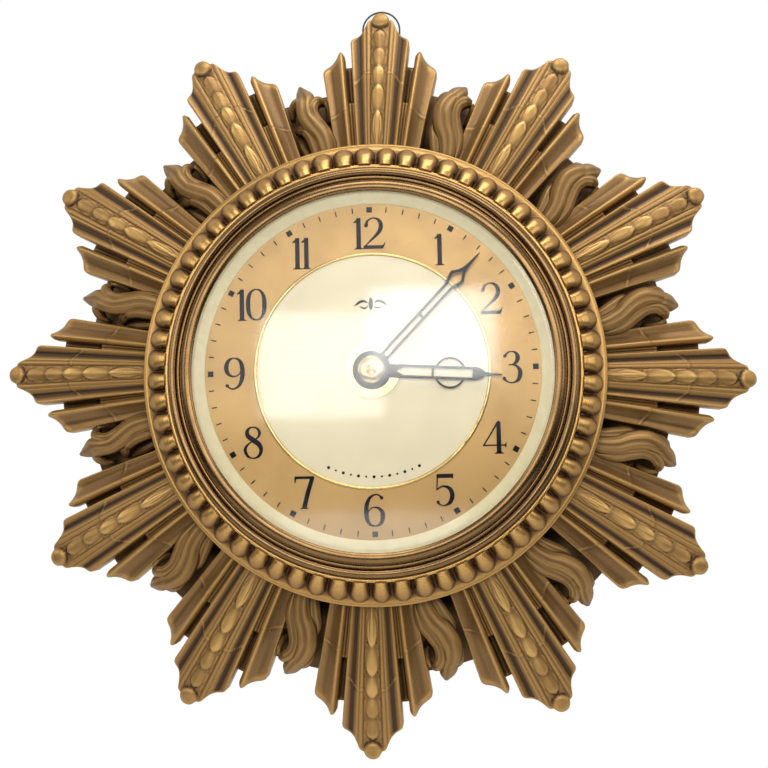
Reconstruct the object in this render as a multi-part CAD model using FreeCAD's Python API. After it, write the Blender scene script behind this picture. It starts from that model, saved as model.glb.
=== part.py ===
# Sunburst wall clock: a cast sunburst surround, a dial under domed glass and a mains synchronous movement.
#
# Every piece is drawn face up, x to the right, y up the dial and z the height above the wall. save() then
# stands it up: the wall is the plane y = 0, +Z is up, the dial faces -Y and the hands turn about x = z = 0.
import FreeCAD, Part
import math
import os

Vector = FreeCAD.Vector
ORIGIN = Vector(0, 0, 0)
X_AXIS = Vector(1, 0, 0)
Z_AXIS = Vector(0, 0, 1)

# ---- driving dimensions, in millimetres and degrees ----
GROUPS = 12                 # ray groups round the sunburst
TIP_RADIUS = 197.5          # ends of the centre rays
DRUM_OUTER = 112.0          # drum behind the dial, whose rear rim rests on the wall
WALL = 2.6                  # thickness of the casting's walls
FLANGE_RADIUS = 116.7       # flange outside the bead ring
SEAT_RADIUS = 101.9         # recess that the bezel drops into
SEAT_HEIGHT = 45.0
DIAL_HEIGHT = 48.0          # front of the dial above the wall
DIAL_RADIUS = 92.5          # dial, sight ring and lens edge
DIAL_VISIBLE = 83.5         # inner edge of the sight ring
DISC_RADIUS = 57.3          # centre disc
NUMERAL_RADIUS = 68.8
NUMERAL_HEIGHT = 16.1
MARKER_RADIUS = 80.6
LENS_APEX = 65.0
LENS_EDGE = 51.2
LENS_THICKNESS = 1.6
DIAL_TWIST = 1.7            # the dial and movement sit turned anticlockwise in the casting
MINUTE_ANGLE = 43.9         # hands on the dial, clockwise from twelve: about seven minutes past three
HOUR_ANGLE = 93.5
PLAY = 0.06                 # running clearance on a radius

# ---- movement: heights above the wall and axes on the dial's own x and y ----
COVER_LOW, COVER_HIGH = 7.0, 8.2
BACK_PLATE = (25.0, 26.5)
FRONT_PLATE = (43.0, 44.5)
MOTION_MODULE = 10.0 / 24   # cannon pinion, minute wheel and setting pinion
HOUR_MODULE = 0.4           # minute wheel's pinion and hour wheel
TRAIN_MODULE = 0.35         # motor train, 10 leaves into 60 teeth three times
TRAIN_STEP = TRAIN_MODULE * (10 + 60) / 2
MINUTE_WHEEL_AT = (0.0, 10.0)
SETTING_AT = (0.0, 20.0)
TRAIN_WHEEL_2_AT = (TRAIN_STEP * math.cos(math.radians(210)), TRAIN_STEP * math.sin(math.radians(210)))
TRAIN_WHEEL_1_AT = (TRAIN_WHEEL_2_AT[0] + TRAIN_STEP * 0.5,
                    TRAIN_WHEEL_2_AT[1] - TRAIN_STEP * math.sqrt(0.75))
MOTOR_AT = (TRAIN_WHEEL_1_AT[0] + TRAIN_STEP, TRAIN_WHEEL_1_AT[1])
PIVOT = 0.6
ARBOR = 0.8
PLATE_X = (-34.0, 30.0)
PLATE_Y = (-36.0, 28.0)
PILLARS_AT = [(x, y) for x in (PLATE_X[0] + 4.5, PLATE_X[1] - 4.5)
              for y in (PLATE_Y[0] + 4.5, PLATE_Y[1] - 4.5)]
CORE_X, CORE_Y, CORE_Z = (-28.0, 24.0), (-33.5, 0.0), (12.0, 18.0)
WINDOW_X, WINDOW_Y = (-20.0, -8.0), (-27.0, -6.5)
MOTOR_POSTS_AT = [(x, y) for x in (-4.0, 21.0) for y in (-30.5, -3.0)]
TERMINAL_X, TERMINAL_Y, TERMINAL_Z = (-30.0, -14.0), (8.0, 18.0), (16.0, 25.0)
LOOP_PIVOT = (178.0, 1.1)   # height up the sunburst and distance from the wall
LOOP_WIRE = 0.5
LOOP_HALF_WIDTH = 10.0


# ---- drawing helpers ----
def clock_point(radius, degrees):
    """The point at this radius, degrees clockwise from twelve o'clock."""
    angle = math.radians(degrees)
    return (radius * math.sin(angle), radius * math.cos(angle))


def edges_of(start, steps, to_vector):
    """Edges from start: a step is an end point, or a pair (a point on the arc, the arc's end point)."""
    edges, here = [], start
    for step in list(steps) + [start]:
        is_arc = isinstance(step[0], tuple)
        end = step[1] if is_arc else step
        if math.dist(here, end) < 1e-6:
            continue
        if is_arc:
            edges.append(Part.Arc(to_vector(here), to_vector(step[0]), to_vector(end)).toShape())
        else:
            edges.append(Part.makeLine(to_vector(here), to_vector(end)))
        here = end
    return edges


def prism(low, high, start, *steps):
    """A closed outline in x and y, raised from low to high."""
    wire = Part.Wire(edges_of(start, steps, lambda p: Vector(p[0], p[1], low)))
    return Part.Face(wire).extrude(Vector(0, 0, high - low))


def turned(start, *steps):
    """A closed outline in radius and height, turned about z."""
    wire = Part.Wire(edges_of(start, steps, lambda p: Vector(p[0], 0, p[1])))
    return Part.Face(wire).revolve(ORIGIN, Z_AXIS, 360)


def disc(radius, low, high, at=(0.0, 0.0)):
    return Part.makeCylinder(radius, high - low, Vector(at[0], at[1], low), Z_AXIS)


def ring(outer, inner, low, high, at=(0.0, 0.0)):
    return disc(outer, low, high, at).cut(disc(inner, low, high, at))


def block(x_range, y_range, z_range):
    size = [pair[1] - pair[0] for pair in (x_range, y_range, z_range)]
    return Part.makeBox(*size, Vector(x_range[0], y_range[0], z_range[0]))


def joined(shapes):
    return shapes[0].multiFuse(shapes[1:]).removeSplitter()


def turn_about_z(shape, degrees):
    """A copy turned anticlockwise as seen from the front."""
    copy = shape.copy()
    copy.rotate(ORIGIN, Z_AXIS, degrees)
    return copy


def around(shape, count):
    return [turn_about_z(shape, -360.0 * i / count) for i in range(count)]


def screw(at, head_low, head_high, head_radius, shank_radius, shank_end):
    """A cheese-head screw with a slot, driven from the rear."""
    head = disc(head_radius, head_low, head_high, at)
    slot = block((at[0] - head_radius, at[0] + head_radius), (at[1] - 0.3, at[1] + 0.3),
                 (head_low, head_low + 0.4 * (head_high - head_low)))
    return head.cut(slot).fuse(disc(shank_radius, head_high, shank_end, at)).removeSplitter()


def save(name, shape, twisted=False):
    """Stand the piece up on the wall and write it out. A twisted piece turns with the dial."""
    solids = shape if isinstance(shape, list) else [shape]
    parts = [solid for item in solids for solid in item.Solids]
    whole = Part.makeCompound(parts) if len(parts) > 1 else parts[0]
    if twisted:
        whole.rotate(ORIGIN, Z_AXIS, DIAL_TWIST)
    whole.rotate(ORIGIN, X_AXIS, 90)
    whole.exportStep("parts/%s.step" % name)


# ---- sunburst casting ----
def ray(low, roof, start, *steps):
    """A ray: its outline raised to a roof given as (radius, height) points from the drum outwards."""
    inner, outer = roof[0][0], roof[-1][0]
    under_roof = turned((inner, low), *roof, (outer, low))
    return prism(low - 1, 60, start, *steps).common(under_roof)


def hollow_ray(roof, start, *steps, hollow_to):
    """A ray open at the back, with a wall of even thickness left under its roof and sides."""
    solid = ray(RAY_REAR, roof, start, *steps)
    cavity_roof = [(radius, height - WALL) for radius, height in roof]
    sides = [steps[-1], start]
    middle = 0.5 * (clock_angle(sides[0]) + clock_angle(sides[1]))
    half = 0.5 * abs(clock_angle(sides[0]) - clock_angle(sides[1]))
    near, far = DRUM_OUTER, hollow_to
    corners = [clock_point(radius, middle + side * (half - math.degrees(WALL / radius)))
               for radius, side in ((near, -1), (far, -1), (far, 1), (near, 1))]
    return solid.cut(ray(RAY_REAR, cavity_roof, *corners))


def clock_angle(point):
    return math.degrees(math.atan2(point[0], point[1]))


RAY_REAR = 2.0
RAY_ROOT = DRUM_OUTER - 1.5
CENTRE_ROOF = [(RAY_ROOT, 32.5), (158.0, 22.0), (TIP_RADIUS + 0.5, 8.5)]
SIDE_ROOF = [(RAY_ROOT, 31.0), (139.0, 24.0), (TIP_RADIUS, 4.5)]
LEAF_ROOF = [(RAY_ROOT, 30.0), (140.0, 20.0), (TIP_RADIUS, 4.0)]
LAND_ROOF = [(RAY_ROOT, 28.5), (139.0, 20.5), (TIP_RADIUS, 8.0)]
FLOOR_ROOF = [(RAY_ROOT, 22.0), (139.0, 14.5), (TIP_RADIUS, 3.5)]


def centre_ray():
    """Constant angular width; coved shoulders sweep in to a short step and a round tip."""
    return hollow_ray(
        CENTRE_ROOF, clock_point(RAY_ROOT, -5.0), clock_point(180.2, -5.0),
        (clock_point(184.4, -3.7), clock_point(189.3, -2.4)),
        (clock_point(191.9, -2.1), clock_point(192.9, -1.6)), clock_point(193.3, -1.35),
        (clock_point(TIP_RADIUS, 0.0), clock_point(193.3, 1.35)), clock_point(192.9, 1.6),
        (clock_point(191.9, 2.1), clock_point(189.3, 2.4)),
        (clock_point(184.4, 3.7), clock_point(180.2, 5.0)),
        clock_point(RAY_ROOT, 5.0), hollow_to=165.0)


def side_ray(side):
    """A shorter ray beside the centre one, with a round point near its inner edge and a coved end."""
    return hollow_ray(
        SIDE_ROOF, clock_point(RAY_ROOT, side * 6.2), clock_point(174.4, side * 6.6),
        (clock_point(176.2, side * 7.1), clock_point(173.2, side * 7.7)),
        (clock_point(170.3, side * 9.1), clock_point(166.6, side * 10.35)),
        clock_point(RAY_ROOT, side * 10.7), hollow_to=160.0)


def leaf_ray():
    """The acanthus leaf between two groups, half a pitch round from the centre ray."""
    middle = 180.0 / GROUPS
    return ray(
        RAY_REAR, LEAF_ROOF, clock_point(RAY_ROOT, middle - 3.1), clock_point(148.0, middle - 3.0),
        (clock_point(157.0, middle - 2.4), clock_point(162.6, middle)),
        (clock_point(157.0, middle + 2.4), clock_point(148.0, middle + 3.0)),
        clock_point(RAY_ROOT, middle + 3.1))


def slot_land(side):
    """Low land that fills the slot beside the centre ray as far as its step."""
    return ray(
        RAY_REAR, LAND_ROOF, clock_point(RAY_ROOT, side * 4.9), clock_point(145.5, side * 4.9),
        clock_point(145.5, side * 6.5), clock_point(RAY_ROOT, side * 6.3))


def slot_floor(side):
    """Deeper floor of the same slot, running out under the land to the slot's open end."""
    return ray(
        RAY_REAR, FLOOR_ROOF, clock_point(RAY_ROOT, side * 4.9), clock_point(169.3, side * 4.9),
        clock_point(169.3, side * 6.7), clock_point(RAY_ROOT, side * 6.3))


COVER_SCREWS_AT = [clock_point(104.5, 45 + 90 * i) for i in range(4)]
BEZEL_SCREWS_AT = [clock_point(97.4, 22.5 + 90 * i) for i in range(4)]
SADDLE_SCREWS_AT = [(-7.0, 185.0), (7.0, 185.0)]


def sunburst_casting():
    drum = turned(
        (88.0, 42.0), (88.0, 47.0), (92.6, 47.0), (92.6, SEAT_HEIGHT), (SEAT_RADIUS, SEAT_HEIGHT),
        (SEAT_RADIUS, 46.2), (104.2, 46.2), ((108.9, 46.4), (114.4, 39.4)), (FLANGE_RADIUS, 38.2),
        (FLANGE_RADIUS, 34.5), (DRUM_OUTER, 34.5), (DRUM_OUTER, 0.0), (DRUM_OUTER - 3.0, 0.0),
        (DRUM_OUTER - 3.0, 36.0), (104.0, 42.0))
    web = ring(155.0, RAY_ROOT, 3.5, 6.0)
    group = [centre_ray(), leaf_ray()]
    group += [make(side) for make in (side_ray, slot_land, slot_floor) for side in (-1, 1)]
    bosses = [disc(5.0, COVER_HIGH, 20.0, at) for at in COVER_SCREWS_AT]
    rays = [item for piece in group for item in around(piece, GROUPS)]
    body = joined([drum, web] + rays + bosses)
    holes = [disc(1.25, COVER_HIGH, 18.0, at) for at in COVER_SCREWS_AT]
    holes += [disc(1.3, 41.0, 46.0, at) for at in BEZEL_SCREWS_AT]
    holes += [disc(1.0, RAY_REAR, RAY_REAR + 4.0, at) for at in SADDLE_SCREWS_AT]
    return body.cut(Part.makeCompound(holes))


# ---- bezel, glass and dial ----
def bezel_ring():
    """Turned brass: an outer torus, a reed between two grooves, then an ovolo down to the glass."""
    outer = SEAT_RADIUS - 0.1
    ring_body = turned(
        (outer, SEAT_HEIGHT), (outer, 48.6), ((99.6, 51.7), (97.4, 50.0)), (97.0, 50.0),
        ((96.2, 51.2), (95.4, 50.6)), (95.1, 50.6), ((94.2, 53.4), (91.6, 52.9)), (89.6, 51.9),
        (89.6, LENS_EDGE), (DIAL_RADIUS + 0.3, LENS_EDGE), (DIAL_RADIUS + 0.3, SEAT_HEIGHT))
    return ring_body.cut(Part.makeCompound([disc(1.2, SEAT_HEIGHT, 48.6, at) for at in BEZEL_SCREWS_AT]))


def dome_height(radius, edge_radius, edge, apex):
    """Height of a spherical dome through its edge and its apex."""
    rise = apex - edge
    sphere = (edge_radius ** 2 + rise ** 2) / (2 * rise)
    return apex - sphere + math.sqrt(sphere ** 2 - radius ** 2)


def domed_lens():
    outer_edge, inner_edge = 89.5, 88.9
    inner_apex, inner_rim = LENS_APEX - LENS_THICKNESS, LENS_EDGE - 1.2
    half = 45.0
    return turned(
        (0.0, LENS_APEX),
        ((half, dome_height(half, outer_edge, LENS_EDGE, LENS_APEX)), (outer_edge, LENS_EDGE)),
        (DIAL_RADIUS, LENS_EDGE), (DIAL_RADIUS, inner_rim), (inner_edge, inner_rim),
        ((half, dome_height(half, inner_edge, inner_rim, inner_apex)), (0.0, inner_apex)))


def sight_ring():
    return turned(
        (DIAL_VISIBLE, DIAL_HEIGHT), (DIAL_VISIBLE, DIAL_HEIGHT + 0.15), (88.3, 49.55), (89.0, 49.6),
        (89.0, LENS_EDGE - 1.2), (DIAL_RADIUS, LENS_EDGE - 1.2), (DIAL_RADIUS, DIAL_HEIGHT))


BUSH_RADIUS = 5.0
DISC_TOP = DIAL_HEIGHT + 0.35
INK = 0.12                  # height of the printed figures and marks


def minute_markers():
    """A square at each hour and a short line at each other minute."""
    square = block((-1.38, 1.38), (MARKER_RADIUS - 1.38, MARKER_RADIUS + 1.38),
                   (DIAL_HEIGHT, DIAL_HEIGHT + INK))
    line = block((-0.3, 0.3), (MARKER_RADIUS - 1.35, MARKER_RADIUS + 1.35), (DIAL_HEIGHT, DIAL_HEIGHT + INK))
    return [turn_about_z(square if minute % 5 == 0 else line, -6.0 * minute) for minute in range(60)]


def stroke(points):
    """A pen stroke through (x, y, width) points in units of the figure's height, smoothed between them."""
    steps = 5
    padded = [points[0]] + list(points) + [points[-1]]
    path = []
    for a, b, c, d in zip(padded, padded[1:], padded[2:], padded[3:]):
        for i in range(steps):
            t = i / steps
            path.append([0.5 * (2 * b[k] + (c[k] - a[k]) * t + (2 * a[k] - 5 * b[k] + 4 * c[k] - d[k]) * t * t
                                + (3 * b[k] - a[k] - 3 * c[k] + d[k]) * t ** 3) for k in range(3)])
    path.append(list(points[-1]))
    left, right = [], []
    for i, (x, y, width) in enumerate(path):
        before, after = path[max(i - 1, 0)], path[min(i + 1, len(path) - 1)]
        dx, dy = after[0] - before[0], after[1] - before[1]
        length = math.hypot(dx, dy)
        shift = (-dy / length * width / 2, dx / length * width / 2)
        left.append((x + shift[0], y + shift[1]))
        right.append((x - shift[0], y - shift[1]))
    return left + right[::-1]


def bar(x0, y0, x1, y1, w0, w1):
    """A straight stroke whose width goes from w0 to w1."""
    dx, dy = x1 - x0, y1 - y0
    length = math.hypot(dx, dy)
    nx, ny = -dy / length / 2, dx / length / 2
    return [(x0 + nx * w0, y0 + ny * w0), (x1 + nx * w1, y1 + ny * w1),
            (x1 - nx * w1, y1 - ny * w1), (x0 - nx * w0, y0 - ny * w0)]


THICK, THIN = 0.14, 0.045   # pen widths of the figures, in figure heights
FIGURES = {
    "0": (0.66, [stroke([(0, 0.98, THIN), (-0.2, 0.87, 0.1), (-0.27, 0.5, THICK), (-0.2, 0.13, 0.1),
                         (0, 0.02, THIN)]),
                 stroke([(0, 0.98, THIN), (0.2, 0.87, 0.1), (0.27, 0.5, THICK), (0.2, 0.13, 0.1),
                         (0, 0.02, THIN)])]),
    "1": (0.28, [bar(0.02, 0.02, 0.02, 0.99, THICK, THICK), bar(0.06, 0.93, -0.13, 0.83, 0.09, THIN),
                 bar(-0.12, 0.015, 0.16, 0.015, 0.03, 0.03)]),
    "2": (0.72, [stroke([(-0.24, 0.74, 0.13), (-0.22, 0.86, 0.07), (0.0, 0.975, THIN), (0.2, 0.86, 0.12),
                         (0.22, 0.66, THICK), (0.05, 0.43, 0.09), (-0.24, 0.16, THIN), (-0.32, 0.04, THIN)]),
                 bar(-0.34, 0.06, 0.28, 0.06, 0.11, 0.11), bar(0.25, 0.03, 0.34, 0.2, 0.09, 0.03)]),
    "3": (0.66, [stroke([(-0.22, 0.84, 0.12), (-0.12, 0.95, 0.06), (0.04, 0.975, THIN), (0.19, 0.86, 0.12),
                         (0.19, 0.7, 0.12), (0.05, 0.57, THIN), (-0.06, 0.55, THIN)]),
                 stroke([(0.02, 0.57, THIN), (0.2, 0.48, 0.1), (0.25, 0.27, THICK), (0.15, 0.08, 0.09),
                         (0.0, 0.02, THIN), (-0.14, 0.05, 0.06), (-0.26, 0.15, 0.11)])]),
    "4": (0.72, [bar(0.13, 0.02, 0.13, 0.97, THICK, THICK), bar(0.12, 0.96, -0.35, 0.27, THIN, THIN),
                 bar(-0.37, 0.255, 0.33, 0.255, THIN, THIN), bar(0.32, 0.2, 0.32, 0.33, 0.03, 0.03),
                 bar(-0.02, 0.015, 0.28, 0.015, 0.03, 0.03)]),
    "5": (0.62, [bar(-0.21, 0.93, 0.27, 0.93, 0.12, 0.12), bar(-0.21, 0.97, -0.23, 0.5, THIN, THIN),
                 stroke([(-0.23, 0.51, THIN), (-0.05, 0.61, 0.06), (0.14, 0.53, 0.11), (0.23, 0.33, THICK),
                         (0.14, 0.12, 0.11), (-0.02, 0.03, THIN), (-0.14, 0.06, 0.06), (-0.22, 0.14, 0.1)])]),
    "6": (0.68, [stroke([(0.22, 0.87, 0.11), (0.12, 0.96, 0.06), (0.0, 0.97, THIN), (-0.18, 0.85, 0.1),
                         (-0.27, 0.55, THICK), (-0.24, 0.2, 0.13), (-0.13, 0.05, 0.08), (0.02, 0.02, THIN)]),
                 stroke([(-0.24, 0.38, 0.05), (-0.12, 0.55, 0.06), (0.05, 0.585, THIN), (0.19, 0.5, 0.1),
                         (0.25, 0.3, THICK), (0.18, 0.1, 0.1), (0.02, 0.02, THIN)])]),
    "7": (0.66, [bar(-0.3, 0.955, 0.3, 0.955, 0.08, 0.08), bar(-0.29, 0.96, -0.29, 0.8, 0.05, 0.03),
                 bar(0.23, 0.94, -0.03, 0.02, THICK, THICK), bar(-0.15, 0.015, 0.1, 0.015, 0.03, 0.03)]),
    "8": (0.66, [stroke([(0.0, 0.975, THIN), (-0.17, 0.9, 0.09), (-0.19, 0.74, THICK), (-0.03, 0.58, 0.15),
                         (0.17, 0.46, 0.15), (0.24, 0.27, 0.12), (0.16, 0.08, 0.09), (0.0, 0.02, THIN)]),
                 stroke([(0.0, 0.975, THIN), (0.16, 0.91, 0.08), (0.2, 0.78, 0.09), (0.1, 0.62, THIN),
                         (-0.12, 0.47, THIN), (-0.25, 0.29, 0.1), (-0.18, 0.09, 0.09), (0.0, 0.02, THIN)])]),
}


def figure(character):
    """Advance width and outlines of one figure; a nine is a six turned upside down."""
    if character == "9":
        width, outlines = FIGURES["6"]
        return width, [[(-x, 1 - y) for x, y in outline] for outline in outlines]
    return FIGURES[character]


def hour_numerals():
    """Upright serif figures one to twelve round the chapter ring."""
    numerals = []
    for hour in range(1, 13):
        text = str(hour)
        centre = clock_point(NUMERAL_RADIUS, 30.0 * hour)
        x = -0.5 * sum(figure(c)[0] for c in text)
        for character in text:
            width, outlines = figure(character)
            middle = x + width / 2
            strokes = [prism(DIAL_HEIGHT, DIAL_HEIGHT + INK,
                             *[(centre[0] + NUMERAL_HEIGHT * (middle + px),
                                centre[1] + NUMERAL_HEIGHT * (py - 0.5)) for px, py in outline])
                       for outline in outlines]
            numerals.append(joined(strokes))
            x += width
    return numerals


def dial_ornament():
    """A plain fleuron under the twelve and a row of dots low on the centre disc."""
    lozenge = prism(DISC_TOP, DISC_TOP + INK, (0.0, 30.4), (1.9, 33.0), (0.0, 35.6), (-1.9, 33.0))
    wings = [prism(DISC_TOP, DISC_TOP + INK, (side * 2.5, 33.0), ((side * 5.0, 34.2), (side * 8.0, 33.0)),
                   ((side * 5.0, 32.3), (side * 2.5, 33.0))) for side in (-1, 1)]
    dots = [disc(0.5, DISC_TOP, DISC_TOP + INK, clock_point(52.5, 180 + 5.0 * i)) for i in range(-5, 6)]
    return [lozenge] + wings + dots


# ---- hands ----
MINUTE_PIPE = 1.93          # outside of the cannon pinion's pipe
HOUR_PIPE = 2.93            # outside of the hour wheel's pipe
CENTRE_ARBOR = 1.0
NUT_TOP = 49.8
HOUR_HAND = (50.6, 51.1)    # thickness of each hand, above the wall
MINUTE_HAND = (51.9, 52.4)
COLLET = (52.4, 53.3)
PIPE_END = 53.9
ARBOR_END = 55.2


def minute_hand():
    """Two thin bars, a crossbar, an open spade and a spear point."""
    low, high = MINUTE_HAND
    tip = 78.5
    solid = prism(low, high, (-2.35, 5.0), (-2.35, 56.0), ((-3.6, 59.0), (-4.3, 62.5)),
                  ((-2.4, 65.0), (-0.9, 69.0)), (-0.2, tip), (0.2, tip), (0.9, 69.0),
                  ((2.4, 65.0), (4.3, 62.5)), ((3.6, 59.0), (2.35, 56.0)),
                  (2.35, 5.0)).fuse(disc(7.9, low, high))
    slots = [block((-1.0, 1.0), (10.0, 35.4), (low, high)), block((-1.0, 1.0), (36.7, 56.0), (low, high)),
             prism(low, high, (-1.0, 56.0), (-2.7, 62.0), (0.0, 66.0), (2.7, 62.0), (1.0, 56.0)),
             disc(MINUTE_PIPE, low, high)]
    return place_hand(solid.cut(Part.makeCompound(slots)), MINUTE_ANGLE)


def hour_hand():
    """Two bars through an open ring, then an ogee down to a fine point."""
    low, high = HOUR_HAND
    tip = 64.0
    bars = prism(low, high, (-3.3, 4.0), (-3.3, 49.0), ((-3.0, 52.5), (-0.9, 56.0)), (-0.25, tip),
                 (0.25, tip),
                 (0.9, 56.0), ((3.0, 52.5), (3.3, 49.0)), (3.3, 4.0))
    solid = joined([bars, disc(7.8, low, high, (0.0, 38.5)), disc(9.6, low, high)])
    slots = [prism(low, high, (-2.0, 15.5), (0.0, 12.5), (2.0, 15.5), (2.0, 29.4), (-2.0, 29.4)),
             block((-2.0, 2.0), (30.6, 49.5), (low, high)), disc(HOUR_PIPE, low, high)]
    ring_gap = disc(6.8, low, high, (0.0, 38.5)).cut(block((-3.3, 3.3), (30.0, 47.0), (low, high)))
    return place_hand(solid.cut(Part.makeCompound(slots)).cut(ring_gap), HOUR_ANGLE)


def place_hand(shape, dial_angle):
    return turn_about_z(shape.removeSplitter(), -dial_angle)


# ---- hands' fixings and motion work ----


def hand_cap():
    """Turned brass cap with a small ball-shaped finial, over the ends of the pipe and the arbor."""
    base, pipe_end, arbor_end = COLLET[1], PIPE_END, ARBOR_END
    ball, ball_height = 1.3, arbor_end + 0.6
    return turned((CENTRE_ARBOR, pipe_end), (MINUTE_PIPE, pipe_end), (MINUTE_PIPE, base), (6.6, base),
                  (6.6, base + 0.7), ((4.6, base + 1.4), (3.0, base + 1.6)),
                  ((2.0, base + 2.0), (ball, ball_height)),
                  ((ball * math.sqrt(0.5), ball_height + ball * math.sqrt(0.5)), (0.0, ball_height + ball)),
                  (0.0, arbor_end), (CENTRE_ARBOR, arbor_end))


def dial_nut():
    """Thin round brass nut with two spanner slots."""
    nut = ring(13.7, BUSH_RADIUS, DISC_TOP, NUT_TOP)
    slots = [block((-1.0, 1.0), (side * 12.3 - 1.5, side * 12.3 + 1.5), (NUT_TOP - 0.8, NUT_TOP))
             for side in (-1, 1)]
    return turn_about_z(nut.cut(Part.makeCompound(slots)), -30)


def gear(teeth, module, low, high, at, tooth_at, is_pinion=False):
    """A flat-faced gear with a tooth centred at the angle tooth_at, anticlockwise from x."""
    pitch_radius, pitch = teeth * module / 2, 360.0 / teeth
    if is_pinion:
        corners = [(-1.15, -0.165), (0.0, -0.165), (0.5, -0.07)]
    else:
        corners = [(-1.15, -0.25), (0.0, -0.19), (0.7, -0.07)]
    corners += [(height, -share) for height, share in reversed(corners)]
    points = []
    for tooth in range(teeth):
        for height, share in corners:
            angle = math.radians(tooth_at + (tooth + share) * pitch)
            radius = pitch_radius + height * module
            points.append((at[0] + radius * math.cos(angle), at[1] + radius * math.sin(angle)))
    return prism(low, high, *points)


def lightened(wheel, at, radius, hole, low, high):
    """Four round holes through a wheel's web."""
    holes = [disc(hole, low, high, (at[0] + radius * math.cos(math.radians(45 + 90 * i)),
                                    at[1] + radius * math.sin(math.radians(45 + 90 * i)))) for i in range(4)]
    return wheel.cut(Part.makeCompound(holes))


def direction(start, end):
    return math.degrees(math.atan2(end[1] - start[1], end[0] - start[0]))


def centre_arbor():
    pieces = [disc(PIVOT, 24.6, 27.0), disc(CENTRE_ARBOR, 27.0, ARBOR_END), disc(2.0, 27.8, 28.9)]
    return joined(pieces)


def cannon_pinion():
    gap_at = direction((0, 0), MINUTE_WHEEL_AT)
    teeth = gear(12, MOTION_MODULE, 35.6, 38.6, (0, 0), gap_at + 180.0 / 12, True)
    return joined([teeth, disc(MINUTE_PIPE, 38.6, PIPE_END)]).cut(disc(CENTRE_ARBOR, 35.0, ARBOR_END))


def minute_wheel():
    """Wheel driven by the cannon pinion, in one piece with the pinion that drives the hour wheel."""
    towards = direction(MINUTE_WHEEL_AT, (0, 0))
    wheel = gear(36, MOTION_MODULE, 36.4, 37.6, MINUTE_WHEEL_AT, towards)
    wheel = lightened(wheel, MINUTE_WHEEL_AT, 4.6, 1.1, 36.0, 38.0)
    pinion = gear(10, HOUR_MODULE, 37.6, 42.2, MINUTE_WHEEL_AT, towards + 180.0 / 10, True)
    return joined([wheel, pinion]).cut(disc(ARBOR + PLAY, 36.0, 43.0, MINUTE_WHEEL_AT))


def minute_wheel_stud():
    return joined([disc(1.6, 35.3, 35.9, MINUTE_WHEEL_AT),
                   disc(ARBOR, 35.9, FRONT_PLATE[1], MINUTE_WHEEL_AT)])


def hour_wheel():
    """Wheel and pipe that carry the hour hand, running on the cannon pinion's pipe."""
    wheel = gear(40, HOUR_MODULE, 40.4, 41.8, (0, 0), direction((0, 0), MINUTE_WHEEL_AT))
    wheel = lightened(wheel, (0, 0), 5.3, 1.0, 40.0, 42.0)
    return joined([wheel, disc(3.6, 39.2, 40.4), disc(HOUR_PIPE, 41.8, HOUR_HAND[1] + 0.5)]).cut(
        disc(MINUTE_PIPE + PLAY, 39.0, ARBOR_END))


def centre_wheel():
    """Wheel that the motor drives; it turns the centre arbor through the clutch spring."""
    wheel = gear(60, TRAIN_MODULE, 29.6, 30.8, (0, 0), direction((0, 0), TRAIN_WHEEL_2_AT))
    wheel = lightened(wheel, (0, 0), 6.2, 2.2, 29.0, 31.0)
    return joined([wheel, disc(2.4, 29.0, 31.2)]).cut(disc(CENTRE_ARBOR + PLAY, 28.0, 32.0))


def clutch_spring():
    """Three-armed washer held on the centre arbor, bearing on the centre wheel's hub."""
    arms = [turn_about_z(block((-0.8, 0.8), (0.0, 4.6), (31.3, 31.7)), 120 * i) for i in range(3)]
    return joined([disc(2.2, 31.3, 32.3)] + arms).cut(disc(CENTRE_ARBOR, 31.0, 33.0))


def train_wheel_1():
    towards = direction(TRAIN_WHEEL_1_AT, MOTOR_AT)
    wheel = lightened(gear(60, TRAIN_MODULE, 27.4, 28.6, TRAIN_WHEEL_1_AT, towards),
                      TRAIN_WHEEL_1_AT, 6.2, 2.2, 27.0, 29.0)
    pinion = gear(10, TRAIN_MODULE, 32.6, 34.6, TRAIN_WHEEL_1_AT,
                  direction(TRAIN_WHEEL_1_AT, TRAIN_WHEEL_2_AT) + 180.0 / 10, True)
    return joined([wheel, pinion] + pivoted_arbor(TRAIN_WHEEL_1_AT))


def train_wheel_2():
    wheel = lightened(gear(60, TRAIN_MODULE, 33.0, 34.2, TRAIN_WHEEL_2_AT,
                           direction(TRAIN_WHEEL_2_AT, TRAIN_WHEEL_1_AT)),
                      TRAIN_WHEEL_2_AT, 6.2, 2.2, 32.0, 35.0)
    pinion = gear(10, TRAIN_MODULE, 29.2, 31.2, TRAIN_WHEEL_2_AT,
                  direction(TRAIN_WHEEL_2_AT, (0, 0)) + 180.0 / 10, True)
    return joined([wheel, pinion] + pivoted_arbor(TRAIN_WHEEL_2_AT))


def pivoted_arbor(at):
    """A train arbor with a pivot in each plate."""
    low, high = BACK_PLATE[1], FRONT_PLATE[0]
    return [disc(PIVOT, BACK_PLATE[0], FRONT_PLATE[1], at), disc(ARBOR, low + 0.2, high - 0.2, at)]


def motor_pinion():
    towards = direction(MOTOR_AT, TRAIN_WHEEL_1_AT)
    teeth = gear(10, TRAIN_MODULE, 27.0, 29.0, MOTOR_AT, towards + 180.0 / 10, True)
    return joined([teeth, disc(ARBOR, 23.4, 29.4, MOTOR_AT)])


# ---- motor ----
def motor_can():
    """Sealed can holding the rotor and its first gears, with a nose through the back plate."""
    body = turned((0.0, 9.5), (13.0, 9.5), (14.0, 10.5), (14.0, 21.0), (13.0, 22.0), (4.0, 22.0), (4.0, 26.4),
                  (ARBOR + PLAY, 26.4), (ARBOR + PLAY, 23.2), (0.0, 23.2))
    body.translate(Vector(MOTOR_AT[0], MOTOR_AT[1], 0))
    return body


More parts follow.
